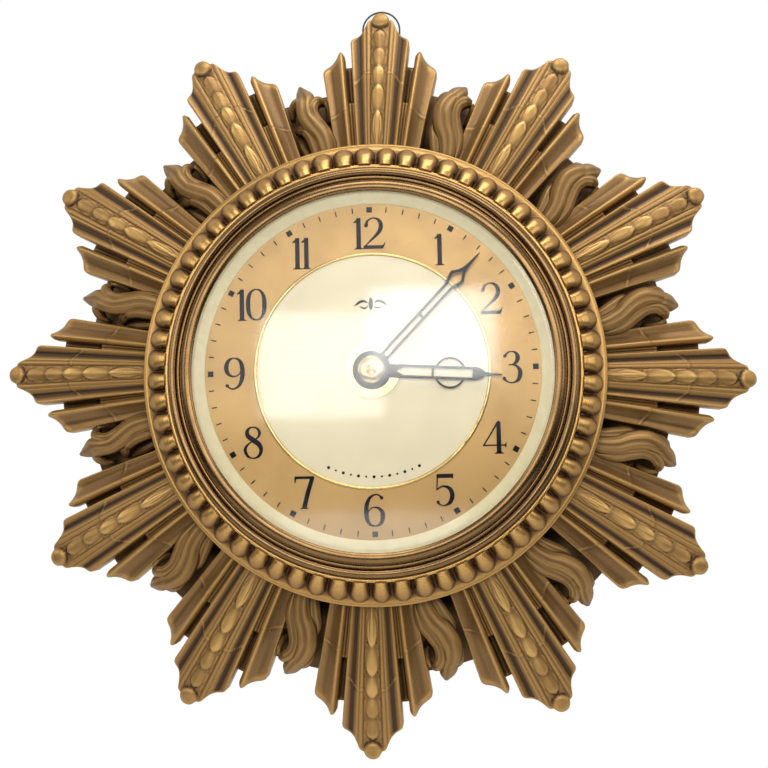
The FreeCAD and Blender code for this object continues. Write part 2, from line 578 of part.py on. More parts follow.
def motor_core():
    """Laminated field core: a bore round the can and a limb through the coil."""
    core = block(CORE_X, CORE_Y, CORE_Z)
    cuts = [block(WINDOW_X, WINDOW_Y, (10.0, 20.0)), disc(14.05, 10.0, 20.0, MOTOR_AT)]
    cuts += [disc(1.1, 10.0, 20.0, at) for at in MOTOR_POSTS_AT]
    return core.cut(Part.makeCompound(cuts))


LIMB_X = (CORE_X[0], WINDOW_X[0])
SLEEVE_X, SLEEVE_Z = (LIMB_X[0] - 1.2, LIMB_X[1] + 1.2), (CORE_Z[0] - 1.2, CORE_Z[1] + 1.2)
BOBBIN_Y = (WINDOW_Y[0] + 0.1, WINDOW_Y[1] - 0.1)
CHEEK = 1.2


def coil_bobbin():
    sleeve = block(SLEEVE_X, BOBBIN_Y, SLEEVE_Z)
    cheeks = [block((-35.0, -13.5), (y, y + CHEEK), (9.0, 21.0)) for y in (BOBBIN_Y[0], BOBBIN_Y[1] - CHEEK)]
    limb = block((LIMB_X[0] - 0.05, LIMB_X[1] + 0.05), (-40.0, 10.0), (CORE_Z[0] - 0.05, CORE_Z[1] + 0.05))
    return joined([sleeve] + cheeks).cut(limb)


def coil_winding():
    winding = block((-34.2, -14.3), (BOBBIN_Y[0] + CHEEK, BOBBIN_Y[1] - CHEEK), (9.5, 20.5))
    return winding.cut(block(SLEEVE_X, (-40.0, 10.0), SLEEVE_Z))


def terminal_block():
    body = block(TERMINAL_X, TERMINAL_Y, TERMINAL_Z)
    wells = [disc(1.5, 14.0, 20.0, at) for at in TERMINAL_SCREWS_AT]
    wells += [disc(0.9, 20.0, 23.0, at) for at in TERMINAL_SCREWS_AT]
    return body.cut(Part.makeCompound(wells))


TERMINAL_SCREWS_AT = [(-26.0, 13.0), (-18.0, 13.0)]


def coil_leads():
    """Two straight leads from the coil's upper cheek to the terminal block."""
    return [Part.makeCylinder(0.6, TERMINAL_Y[0] - BOBBIN_Y[1], Vector(x, BOBBIN_Y[1], 19.5), Vector(0, 1, 0))
            for x in (-26.0, -18.0)]


# ---- movement plates and fixings ----
def movement_plate(low, high, holes):
    radius = 6.0
    (x0, x1), (y0, y1) = PLATE_X, PLATE_Y
    sheet = block((x0, x1), (y0, y1), (low, high))
    sheet = sheet.makeFillet(radius, [edge for edge in sheet.Edges if abs(edge.tangentAt(0).z) > 0.99])
    return sheet.cut(Part.makeCompound([disc(size, low - 1, high + 1, at) for size, at in holes]))


def back_plate():
    holes = [(PIVOT + PLAY, at) for at in ((0, 0), TRAIN_WHEEL_1_AT, TRAIN_WHEEL_2_AT)]
    holes += [(4.05, MOTOR_AT), (1.5 + PLAY, SETTING_AT)] + [(1.1, at) for at in PILLARS_AT]
    return movement_plate(*BACK_PLATE, holes)


def front_plate():
    holes = [(PIVOT + PLAY, at) for at in (TRAIN_WHEEL_1_AT, TRAIN_WHEEL_2_AT)]
    holes += [(BUSH_RADIUS, (0, 0)), (ARBOR + PLAY, SETTING_AT), (ARBOR, MINUTE_WHEEL_AT)]
    return movement_plate(*FRONT_PLATE, holes + [(1.1, at) for at in PILLARS_AT])


def plate_pillars():
    return [ring(2.8, 1.1, BACK_PLATE[1], FRONT_PLATE[0], at) for at in PILLARS_AT]


def plate_screws():
    """One long screw through each pillar, with its nut in front of the front plate."""
    long_screws = [screw(at, 23.2, BACK_PLATE[0], 2.2, 1.1, 46.2) for at in PILLARS_AT]
    return long_screws


def plate_nuts():
    nuts = []
    for at in PILLARS_AT:
        corners = [(at[0] + 2.4 * math.cos(math.radians(60 * i)),
                    at[1] + 2.4 * math.sin(math.radians(60 * i)))
                   for i in range(6)]
        nuts.append(prism(FRONT_PLATE[1], 46.0, *corners).cut(disc(1.1, 44.0, 47.0, at)))
    return nuts


def setting_arbor():
    teeth = gear(12, MOTION_MODULE, 36.2, 38.0, SETTING_AT,
                 direction(SETTING_AT, MINUTE_WHEEL_AT) + 180.0 / 12, True)
    return joined([disc(1.5, 2.4, 36.2, SETTING_AT), teeth, disc(ARBOR, 38.0, FRONT_PLATE[1], SETTING_AT)])


def setting_knob():
    """Knurled knob in the recess behind the back cover."""
    knob = disc(8.0, 1.4, 5.6, SETTING_AT).fuse(disc(3.4, 5.6, 6.6, SETTING_AT))
    flutes = []
    for i in range(18):
        angle = math.radians(20 * i)
        flutes.append(disc(0.9, 1.0, 5.6, (SETTING_AT[0] + 8.3 * math.cos(angle),
                                           SETTING_AT[1] + 8.3 * math.sin(angle))))
    return knob.cut(Part.makeCompound(flutes + [disc(1.5, 2.4, 7.0, SETTING_AT)]))


# ---- back cover and hanging ----
def twisted_point(at):
    angle = math.radians(DIAL_TWIST)
    return (at[0] * math.cos(angle) - at[1] * math.sin(angle),
            at[0] * math.sin(angle) + at[1] * math.cos(angle))


INLET_AT = (0.0, -88.0)


def back_cover():
    sheet = disc(DRUM_OUTER - 3.2, COVER_LOW, COVER_HIGH)
    holes = [disc(1.4, 6.0, 9.0, at) for at in COVER_SCREWS_AT]
    holes += [disc(4.4, 6.0, 9.0, twisted_point(SETTING_AT)), disc(4.0, 6.0, 9.0, INLET_AT)]
    vents = [disc(1.6, 6.0, 9.0, (-30.0 + 7.5 * i, y)) for i in range(9) for y in (-62.0, 62.0)]
    return sheet.cut(Part.makeCompound(holes + vents))


def inlet_grommet():
    return turned((2.6, 6.2), (5.5, 6.2), (5.5, COVER_LOW), (4.0, COVER_LOW), (4.0, COVER_HIGH),
                  (5.5, COVER_HIGH), (5.5, 9.0), (2.6, 9.0)).translated(Vector(INLET_AT[0], INLET_AT[1], 0))


def hanger_saddles():
    """Two straps that hold the loop's ends to the back of the top ray."""
    up, out = LOOP_PIVOT
    straps = []
    for x, y in SADDLE_SCREWS_AT:
        strap = joined([block((x - 2.0, x + 2.0), (up - 2.0, up + 3.0), (0.25, RAY_REAR)),
                        block((x - 2.0, x + 2.0), (up + 3.0, y + 2.2), (1.2, RAY_REAR))])
        bore = Part.makeCylinder(LOOP_WIRE + 0.05, 6.0, Vector(x - 3.0, up, out), X_AXIS)
        straps.append(strap.cut(bore).cut(disc(1.0, 0.0, 3.0, (x, y))))
    return straps


def hanging_loop():
    """Wire bail: an inturned pivot at each side, two legs and a half-round top above the ray's tip."""
    up, out = LOOP_PIVOT
    bend, inner, half = 1.5, 4.4, LOOP_HALF_WIDTH
    shoulder = TIP_RADIUS + 3.0 - half

    def at(x, y):
        return Vector(x, y, out)
    mid = bend * (1 - math.sqrt(0.5))
    path = [Part.makeLine(at(-inner, up), at(-half + bend, up)),
            Part.Arc(at(-half + bend, up), at(-half + mid, up + mid), at(-half, up + bend)).toShape(),
            Part.makeLine(at(-half, up + bend), at(-half, shoulder)),
            Part.Arc(at(-half, shoulder), at(0, shoulder + half), at(half, shoulder)).toShape(),
            Part.makeLine(at(half, shoulder), at(half, up + bend)),
            Part.Arc(at(half, up + bend), at(half - mid, up + mid), at(half - bend, up)).toShape(),
            Part.makeLine(at(half - bend, up), at(inner, up))]
    section = Part.Wire(Part.makeCircle(LOOP_WIRE, at(-inner, up), X_AXIS))
    return Part.Wire(path).makePipeShell([section], True, False)


def main():
    os.makedirs("parts", exist_ok=True)
    save("sunburst_casting", sunburst_casting())
    save("bezel_ring", bezel_ring())
    save("bezel_screws", [screw(at, 40.0, 42.0, 2.4, 1.2, 48.4) for at in BEZEL_SCREWS_AT])
    save("domed_lens", domed_lens())
    save("sight_ring", sight_ring())
    save("dial_plate", ring(DIAL_RADIUS, BUSH_RADIUS, DIAL_HEIGHT - 1.0, DIAL_HEIGHT))
    save("centre_disc", ring(DISC_RADIUS, BUSH_RADIUS, DIAL_HEIGHT, DISC_TOP))
    save("centre_border", turned((DISC_RADIUS, DIAL_HEIGHT), (DISC_RADIUS, DISC_TOP + 0.1),
                                 ((DISC_RADIUS + 0.85, DISC_TOP + 0.6), (DISC_RADIUS + 1.7, DIAL_HEIGHT))))
    save("hour_numerals", hour_numerals(), twisted=True)
    save("minute_markers", minute_markers(), twisted=True)
    save("dial_ornament", dial_ornament(), twisted=True)
    save("hour_hand", hour_hand(), twisted=True)
    save("minute_hand", minute_hand(), twisted=True)
    save("minute_hand_collet", ring(7.9, MINUTE_PIPE, *COLLET), twisted=True)
    save("hand_cap", hand_cap(), twisted=True)
    save("dial_nut", dial_nut(), twisted=True)
    save("dial_washer", ring(12.0, BUSH_RADIUS, FRONT_PLATE[1], DIAL_HEIGHT - 1.0), twisted=True)
    save("centre_bush", ring(BUSH_RADIUS, HOUR_PIPE + PLAY, FRONT_PLATE[0], NUT_TOP + 0.3), twisted=True)
    save("front_plate", front_plate(), twisted=True)
    save("back_plate", back_plate(), twisted=True)
    save("plate_pillars", plate_pillars(), twisted=True)
    save("plate_screws", plate_screws(), twisted=True)
    save("plate_nuts", plate_nuts(), twisted=True)
    save("centre_arbor", centre_arbor(), twisted=True)
    save("cannon_pinion", cannon_pinion(), twisted=True)
    save("minute_wheel", minute_wheel(), twisted=True)
    save("minute_wheel_stud", minute_wheel_stud(), twisted=True)
    save("hour_wheel", hour_wheel(), twisted=True)
    save("centre_wheel", centre_wheel(), twisted=True)
    save("clutch_spring", clutch_spring(), twisted=True)
    save("train_wheel_1", train_wheel_1(), twisted=True)
    save("train_wheel_2", train_wheel_2(), twisted=True)
    save("motor_pinion", motor_pinion(), twisted=True)
    save("motor_can", motor_can(), twisted=True)
    save("motor_core", motor_core(), twisted=True)
    save("motor_posts", [ring(2.2, 1.1, CORE_Z[1], BACK_PLATE[0], at) for at in MOTOR_POSTS_AT], twisted=True)
    save("motor_screws", [screw(at, 10.2, CORE_Z[0], 2.2, 1.1, 24.0) for at in MOTOR_POSTS_AT], twisted=True)
    save("coil_bobbin", coil_bobbin(), twisted=True)
    save("coil_winding", coil_winding(), twisted=True)
    save("coil_leads", coil_leads(), twisted=True)
    save("terminal_block", terminal_block(), twisted=True)
    save("terminal_screws", [screw(at, 17.5, 20.0, 1.5, 0.9, 23.0) for at in TERMINAL_SCREWS_AT],
         twisted=True)
    save("setting_arbor", setting_arbor(), twisted=True)
    save("setting_knob", setting_knob(), twisted=True)
    save("back_cover", back_cover())
    save("back_cover_screws", [screw(at, 5.2, COVER_LOW, 2.6, 1.25, 17.0) for at in COVER_SCREWS_AT])
    save("inlet_grommet", inlet_grommet())
    save("hanger_saddles", hanger_saddles())
    save("saddle_screws", [screw(at, 0.3, 1.2, 1.9, 1.0, 5.5) for at in SADDLE_SCREWS_AT])
    save("hanging_loop", hanging_loop())


main()
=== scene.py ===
# Looks of the sunburst wall clock: the cast sunburst with its flutes, husks, leaves and beads, the bezel,
# the glass, the printed dial and a procedural material for every piece.
#
# Shapes are worked out face up, in millimetres: x to the right, y up the dial and z out from the wall.
# make_piece() stands them up in the row frame, where the dial faces -Y and lengths are in metres.
import math

import bmesh
import bpy
import numpy as np
from mathutils import Matrix, Vector


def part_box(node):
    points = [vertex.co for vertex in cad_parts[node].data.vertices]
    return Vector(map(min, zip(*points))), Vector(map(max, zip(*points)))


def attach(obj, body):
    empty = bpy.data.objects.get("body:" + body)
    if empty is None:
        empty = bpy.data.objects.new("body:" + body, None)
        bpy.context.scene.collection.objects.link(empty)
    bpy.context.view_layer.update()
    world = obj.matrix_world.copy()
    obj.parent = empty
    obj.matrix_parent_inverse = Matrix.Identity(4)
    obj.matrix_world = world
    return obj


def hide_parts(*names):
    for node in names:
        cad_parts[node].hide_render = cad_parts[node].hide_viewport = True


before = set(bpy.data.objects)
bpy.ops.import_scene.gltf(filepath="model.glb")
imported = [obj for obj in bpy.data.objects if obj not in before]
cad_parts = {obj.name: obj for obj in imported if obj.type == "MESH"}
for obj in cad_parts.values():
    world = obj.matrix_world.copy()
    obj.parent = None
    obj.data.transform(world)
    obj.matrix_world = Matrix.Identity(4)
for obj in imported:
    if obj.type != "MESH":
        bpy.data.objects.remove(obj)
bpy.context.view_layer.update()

MM = 0.001
BEADS = 64
GROUPS = 12
PITCH = 360.0 / GROUPS

# ---- sizes read from the frame, in millimetres ----
TIP_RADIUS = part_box("sunburst_casting")[1].x / MM
DIAL_FACE = -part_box("dial_plate")[0].y / MM
DISC_FACE = -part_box("centre_disc")[0].y / MM
LENS_APEX = -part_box("domed_lens")[0].y / MM
GLASS_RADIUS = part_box("domed_lens")[1].x / MM
SEAT = -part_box("bezel_ring")[1].y / MM

# ---- sizes that the frame doesn't state, in millimetres unless a comment says otherwise ----
LENS_EDGE = LENS_APEX - 13.8    # height of the dome's flat rim
LENS_RADII = (89.5, 88.9)       # outside and inside of the dome at its rim
LENS_RIM, LENS_THICK = 1.2, 1.6
DRUM_OUTER = 112.0
BEZEL_OUTER = 101.8
DIAL_VISIBLE = 83.5
DIAL_TWIST = 1.7                # degrees anticlockwise of the sunburst
REAR = 2.0                      # backs of the rays, out from the wall
WALL = 2.6                      # thickness of the casting
INK_LOW, INK_HIGH = 0.005, 0.11     # ink above the face that it is printed on
ROOT_FADE = (116.5, 119.5)      # radii over which the painted shade at the roots of the rays fades


# ---- mesh helpers ----
def clock_points(radius, degrees, height):
    """Points at a radius and an angle clockwise from twelve, face up."""
    angle = np.radians(degrees)
    radius, angle, height = np.broadcast_arrays(radius, angle, height)
    return np.stack([radius * np.sin(angle), radius * np.cos(angle), height], axis=-1)


def turned_copies(points, faces, count):
    """Copies of a mesh at even steps clockwise round the dial."""
    all_points, all_faces = [], []
    for i in range(count):
        a = math.radians(360.0 / count * i)
        turn = np.array([[math.cos(a), math.sin(a), 0], [-math.sin(a), math.cos(a), 0], [0, 0, 1]])
        all_faces += [tuple(v + i * len(points) for v in face) for face in faces]
        all_points.append(points @ turn.T)
    return np.concatenate(all_points), all_faces


def grid_faces(rows, columns, start=0, wrap=False):
    """Quads over a grid of points stored row by row; wrap joins the last column to the first."""
    faces = []
    for i in range(rows - 1):
        for j in range(columns if wrap else columns - 1):
            k = (j + 1) % columns
            faces.append((start + i * columns + j, start + i * columns + k,
                          start + (i + 1) * columns + k, start + (i + 1) * columns + j))
    return faces


def convexity(mesh, rounds):
    """How far each vertex stands out from its neighbours, in metres, smoothed over the mesh."""
    count = len(mesh.vertices)
    points = np.empty(count * 3)
    mesh.vertices.foreach_get("co", points)
    points = points.reshape(-1, 3)
    edges = np.empty(len(mesh.edges) * 2, dtype=np.int32)
    mesh.edges.foreach_get("vertices", edges)
    a, b = edges.reshape(-1, 2).T
    degree = np.bincount(np.concatenate([a, b]), minlength=count).clip(1)[:, None]
    normals = np.empty(count * 3)
    mesh.vertex_normals.foreach_get("vector", normals)
    normals = normals.reshape(-1, 3)
    smooth = points.copy()
    for _ in range(rounds):
        total = np.zeros_like(smooth)
        np.add.at(total, a, smooth[b])
        np.add.at(total, b, smooth[a])
        smooth = 0.5 * smooth + 0.5 * total / degree
    return ((points - smooth) * normals).sum(axis=1)


def add_mask(mesh, name, values):
    """Store one number per vertex for the materials to read."""
    attribute = mesh.attributes.new(name, "FLOAT", "POINT")
    attribute.data.foreach_set("value", np.asarray(values, dtype=np.float32))


def make_piece(name, points, faces, material, body="case", slot=None, replaces=(), smooth=True, masks=None,
               relief=None):
    """A Blender object from face-up millimetre points, riding on a CAD body."""
    points = np.asarray(points, dtype=float).reshape(-1, 3)
    stood = np.stack([points[:, 0], -points[:, 2], points[:, 1]], axis=1) * MM
    mesh = bpy.data.meshes.new(name)
    mesh.from_pydata(stood.tolist(), [], [tuple(int(v) for v in face) for face in faces])
    mesh.validate()
    turned_out = bmesh.new()
    turned_out.from_mesh(mesh)
    bmesh.ops.recalc_face_normals(turned_out, faces=turned_out.faces)
    turned_out.to_mesh(mesh)
    turned_out.free()
    mesh.polygons.foreach_set("use_smooth", [smooth] * len(mesh.polygons))
    if relief:
        mesh.update()
        add_mask(mesh, "relief", convexity(mesh, relief) / MM)
    for mask, values in (masks or {}).items():
        add_mask(mesh, mask, values)
    piece = bpy.data.objects.new(name, mesh)
    bpy.context.scene.collection.objects.link(piece)
    mesh.materials.append(material)
    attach(piece, body)
    if replaces:
        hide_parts(*replaces)


def lathe(name, profile, material, segments=256, **options):
    """A turned piece: a closed profile of (radius, height) points spun round the dial's axis."""
    angles = np.arange(segments) * 360.0 / segments
    points = np.concatenate([clock_points(r, angles, z) for r, z in profile])
    faces = grid_faces(len(profile), segments, wrap=True)
    last = (len(profile) - 1) * segments
    faces += [(last + j, last + (j + 1) % segments, (j + 1) % segments, j) for j in range(segments)]
    make_piece(name, points, faces, material, **options)


def arc(centre, radius, start, end, count):
    """Points on an arc in the (radius, height) plane, angles in degrees anticlockwise from outwards."""
    angles = np.radians(np.linspace(start, end, count))
    return [(centre[0] + radius * math.cos(a), centre[1] + radius * math.sin(a)) for a in angles]


def share(x, low, high):
    """How far x has come from low to high, kept between 0 and 1."""
    return np.clip((x - low) / (high - low), 0.0, 1.0)


def ramp(x, low, high):
    """Smooth step from 0 at low to 1 at high."""
    t = share(x, low, high)
    return t * t * (3 - 2 * t)


def ridge(x, low, high):
    """A half-round rise between low and high, 1 at its middle."""
    return np.sqrt(np.clip(1 - (2 * share(x, low, high) - 1) ** 2, 0.0, 1.0))


def bump(x, low, high):
    """A cosine rise between low and high, 1 at its middle."""
    return 0.5 - 0.5 * np.cos(2 * math.pi * share(x, low, high))


def smooth_path(padded, steps):
    """Points of a Catmull-Rom curve through all but the first and last of the padded knots."""
    path = []
    for a, b, c, d in zip(padded, padded[1:], padded[2:], padded[3:]):
        for t in np.arange(steps) / steps:
            path.append(0.5 * (2 * b + (c - a) * t + (2 * a - 5 * b + 4 * c - d) * t ** 2
                               + (3 * b - a - 3 * c + d) * t ** 3))
    return np.array(path + [padded[-2]])


def turned_plane(x, y, angle):
    """Plane coordinates turned anticlockwise by an angle in radians."""
    return x * math.cos(angle) - y * math.sin(angle), x * math.sin(angle) + y * math.cos(angle)


# ---- materials ----
class Graph:
    """A node tree, with short ways to add the usual nodes."""

    def __init__(self, tree):
        self.nodes, self.links = tree.nodes, tree.links

    def feed(self, socket, value):
        """Set a socket to a constant, or link it to another node's output."""
        if isinstance(value, tuple):
            socket.default_value = value + (1.0,)
        elif isinstance(value, (int, float)):
            socket.default_value = value
        else:
            self.links.new(value, socket)

    def noise(self, scale, detail=4.0, roughness=0.6, stretch=None):
        """Noise over the piece's own coordinates, in metres."""
        texture = self.nodes.new("ShaderNodeTexNoise")
        texture.inputs["Scale"].default_value = scale
        texture.inputs["Detail"].default_value = detail
        texture.inputs["Roughness"].default_value = roughness
        place = self.nodes.new("ShaderNodeTexCoord").outputs["Object"]
        if stretch:
            mapping = self.nodes.new("ShaderNodeMapping")
            mapping.inputs["Scale"].default_value = stretch
            self.links.new(place, mapping.inputs["Vector"])
            place = mapping.outputs["Vector"]
        self.links.new(place, texture.inputs["Vector"])
        return texture.outputs["Fac"]

    def attribute(self, name):
        node = self.nodes.new("ShaderNodeAttribute")
        node.attribute_name = name
        return node.outputs["Fac"]

    def spread(self, value, low, high, to_low=0.0, to_high=1.0):
        """Map a value from one range to another, clamped."""
        node = self.nodes.new("ShaderNodeMapRange")
        ends = (("From Min", low), ("From Max", high), ("To Min", to_low), ("To Max", to_high))
        for socket, number in ends:
            node.inputs[socket].default_value = number
        self.links.new(value, node.inputs["Value"])
        return node.outputs["Result"]

    def blend(self, factor, first, second):
        """Mix two colours, each a tuple or a socket."""
        node = self.nodes.new("ShaderNodeMix")
        node.data_type = "RGBA"
        self.feed(node.inputs[6], first)
        self.feed(node.inputs[7], second)
        self.links.new(factor, node.inputs[0])
        return node.outputs[2]

    def combine(self, operation, first, second):
        node = self.nodes.new("ShaderNodeMath")
        node.operation = operation
        self.feed(node.inputs[0], first)
        self.feed(node.inputs[1], second)
        return node.outputs[0]


class Shading(Graph):
    """The node tree of a new material."""

    def __init__(self, name):
        self.material = bpy.data.materials.new(name)
        self.material.use_nodes = True
        super().__init__(self.material.node_tree)
        self.shader = self.nodes["Principled BSDF"]

    def finish(self, tone, roughness, height, strength, distance):
        """Wire up the shader's colour, roughness and fine surface, and return the material."""
        node = self.nodes.new("ShaderNodeBump")
        node.inputs["Strength"].default_value = strength
        node.inputs["Distance"].default_value = distance
        self.links.new(tone, self.shader.inputs["Base Color"])
        self.links.new(roughness, self.shader.inputs["Roughness"])
        self.links.new(height, node.inputs["Height"])
        self.links.new(node.outputs["Normal"], self.shader.inputs["Normal"])
        return self.material


def gilt_material(name, base, bright, dark, metallic, roughness, deepest):
    """Bronze-gilt paint on a casting: dark patina and painted shade in the recesses, rubbed bright on the
    high places, grainy, with more painted shade from the shade mask and painted highlights among the rubbed
    gold.

    deepest is the relief at which the patina and painted shade of the hollows are at their full strength.
    """
    g = Shading(name)
    relief, shade, gild = g.attribute("relief"), g.attribute("shade"), g.attribute("gild")
    cloud = g.noise(28.0, 5.0)
    grain = g.noise(900.0, 3.0, 0.7)
    rubbed = g.combine("MULTIPLY", g.spread(relief, 0.03, 0.16), g.spread(cloud, 0.3, 0.65, 0.35, 1.0))
    # painted shade from the shade mask, broken up by the grain
    painted_shade = g.combine("MULTIPLY", shade, g.spread(grain, 0.2, 0.7, 1.0, 0.8))
    # the hollows' dark patina and painted shade, with the shade mask's painted shade on top
    patina_and_shade = g.combine("MAXIMUM", g.spread(relief, -0.02, deepest), painted_shade)
    tone = g.blend(g.spread(cloud, 0.35, 0.7), base, tuple(0.78 * c for c in base))
    tone = g.blend(g.spread(grain, 0.58, 0.75, 0.0, 0.45), tone, dark)
    # paint rubbed to bright gold, and painted highlights, lighten the tone
    tone = g.blend(gild, tone, bright)
    tone = g.blend(g.combine("MULTIPLY", rubbed, 0.42), tone, bright)
    tone = g.blend(patina_and_shade, tone, dark)
    g.shader.inputs["Metallic"].default_value = metallic
    dull = g.combine("SUBTRACT", grain, g.combine("MULTIPLY", gild, 0.5))
    height = g.combine("ADD", grain, g.combine("MULTIPLY", cloud, 2.0))
    return g.finish(tone, g.spread(dull, 0.0, 0.8, roughness - 0.12, roughness + 0.12), height, 0.35, 0.00012)


def metal_material(name, colour, dark, roughness, scale=160.0, stretch=None, metallic=1.0, patches=0.5):
    """Bare or lacquered metal with tarnish in soft patches and fine scratches."""
    g = Shading(name)
    cloud = g.noise(scale, 6.0)
    fine = g.noise(1800.0, 2.0, 0.5, stretch)
    tone = g.blend(g.spread(cloud, 0.42, 0.72, 0.0, patches), colour, dark)
    g.shader.inputs["Metallic"].default_value = metallic
    dull = g.combine("ADD", cloud, fine)
    return g.finish(tone, g.spread(dull, 0.6, 1.4, max(roughness - 0.06, 0.05), roughness + 0.10),
                    fine, 0.12, 0.00003)


def plain_material(name, colour, dark, roughness, scale=220.0, grain=0.2, coat=0.0, gloss=0.5):
    """Paint, plastic, rubber or fibre: an even colour with faint mottling and a fine surface."""
    g = Shading(name)
    cloud = g.noise(scale, 5.0)
    fine = g.noise(2600.0, 2.0)
    tone = g.blend(g.spread(cloud, 0.35, 0.7), colour, dark)
    g.shader.inputs["Coat Weight"].default_value = coat
    g.shader.inputs["Specular IOR Level"].default_value = gloss
    return g.finish(tone, g.spread(fine, 0.3, 0.7, roughness - 0.05, roughness + 0.08), fine, grain, 0.00004)


def glass_material(name):
    """Clear pane: see-through, with a smeary mirror that strengthens towards a grazing view.

    It is thin enough not to bend the dial. Both faces of the pane mirror alike, whichever way they are met.
    """
    g = Shading(name)
    g.nodes.remove(g.shader)
    clear, mirror = g.nodes.new("ShaderNodeBsdfTransparent"), g.nodes.new("ShaderNodeBsdfGlossy")
    clear.inputs["Color"].default_value = (0.985, 0.99, 0.98, 1.0)
    g.links.new(g.spread(g.noise(60.0, 5.0), 0.35, 0.7, 0.10, 0.16), mirror.inputs["Roughness"])
    facing = g.nodes.new("ShaderNodeLayerWeight")
    facing.inputs["Blend"].default_value = 0.5
    grazing = g.combine("POWER", facing.outputs["Facing"], 5.0)
    mix = g.nodes.new("ShaderNodeMixShader")
    g.links.new(g.spread(grazing, 0.0, 1.0, 0.07, 1.0), mix.inputs[0])
    g.links.new(clear.outputs[0], mix.inputs[1])
    g.links.new(mirror.outputs[0], mix.inputs[2])
    g.links.new(mix.outputs[0], g.nodes["Material Output"].inputs["Surface"])
    return g.material


GILT_RAYS = gilt_material("gilt_rays", (0.250, 0.132, 0.037), (0.60, 0.36, 0.11), (0.046, 0.022, 0.008),
                          0.62, 0.42, -0.22)
GILT_BEADS = gilt_material("gilt_beads", (0.22, 0.108, 0.026), (0.58, 0.34, 0.10), (0.040, 0.016, 0.006),
                           0.66, 0.36, -0.30)
BEZEL_BRASS = metal_material("aged_bezel_brass", (0.20, 0.118, 0.048), (0.11, 0.062, 0.029), 0.24, 60.0)
BRASS = metal_material("turned_brass", (0.78, 0.57, 0.24), (0.52, 0.34, 0.13), 0.22, 240.0)
STEEL = metal_material("turned_steel", (0.50, 0.50, 0.51), (0.28, 0.27, 0.27), 0.30)
COPPER = metal_material("copper_plate", (0.62, 0.36, 0.22), (0.34, 0.18, 0.11), 0.30)
SPRING = metal_material("spring_bronze", (0.58, 0.38, 0.20), (0.36, 0.21, 0.11), 0.28)
LAMINATION = metal_material("core_steel", (0.22, 0.22, 0.25), (0.10, 0.09, 0.09), 0.42, 130.0,
                            (1.0, 60.0, 1.0))
DIAL_GOLD = metal_material("dial_gold", (0.44, 0.27, 0.105), (0.38, 0.225, 0.085), 0.36, 50.0, metallic=0.75,
                           patches=0.6)
CHAMPAGNE = metal_material("dial_champagne", (0.74, 0.64, 0.45), (0.69, 0.59, 0.41), 0.42, 40.0, metallic=0.3)
SIGHT_PAINT = plain_material("sight_paint", (0.86, 0.75, 0.48), (0.78, 0.67, 0.42), 0.40, gloss=0.3)
HAND_BLACK = plain_material("hand_enamel", (0.010, 0.010, 0.012), (0.020, 0.018, 0.016), 0.42, gloss=0.12)
INK = plain_material("print_ink", (0.008, 0.009, 0.014), (0.018, 0.018, 0.024), 0.60, gloss=0.06)
FIBRE = plain_material("red_fibre", (0.30, 0.08, 0.04), (0.20, 0.05, 0.03), 0.60)
BOBBIN = plain_material("bobbin", (0.48, 0.38, 0.22), (0.40, 0.30, 0.17), 0.45)
TAPE = plain_material("winding_tape", (0.42, 0.26, 0.07), (0.30, 0.17, 0.04), 0.50, grain=0.5)
LEAD = plain_material("lead_cover", (0.03, 0.02, 0.015), (0.05, 0.035, 0.02), 0.50)
PHENOLIC = plain_material("phenolic", (0.030, 0.013, 0.008), (0.055, 0.025, 0.012), 0.28, coat=0.2)
COVER = plain_material("cover_lacquer", (0.055, 0.045, 0.035), (0.035, 0.028, 0.022), 0.42, scale=60.0)
RUBBER = plain_material("grommet_rubber", (0.015, 0.015, 0.015), (0.03, 0.03, 0.03), 0.70, grain=0.5)
LOOP_WIRE = plain_material("loop_enamel", (0.015, 0.035, 0.025), (0.04, 0.06, 0.045), 0.35)
GLASS = glass_material("clear_glass")
FLOOR = plain_material("pale_floor", (0.82, 0.82, 0.81), (0.78, 0.78, 0.77), 0.80, scale=6.0)


# ---- sunburst: rays ----
def roof(radius, stations):
    """Height along a ray from (radius, height) stations, eased a little at each crease."""
    r, z = np.array(stations).T
    return sum(np.interp(radius + shift, r, z) for shift in (-1.2, -0.4, 0.4, 1.2)) / 4


def border_loop(rows, columns):
    """The border cells of a grid, once round."""
    loop = [(0, j) for j in range(columns)] + [(i, columns - 1) for i in range(1, rows)]
    return loop + [(rows - 1, j) for j in range(columns - 2, -1, -1)] + [(i, 0) for i in range(rows - 2, 0,
                                                                                               -1)]


def thinned(count, step):
    """Every so many of a run of indices with the last one, and the nearest of these to each index."""
    picked = sorted(set(range(0, count, step)) | {count - 1})
    return picked, [int(np.argmin([abs(i - p) for p in picked])) for i in range(count)]


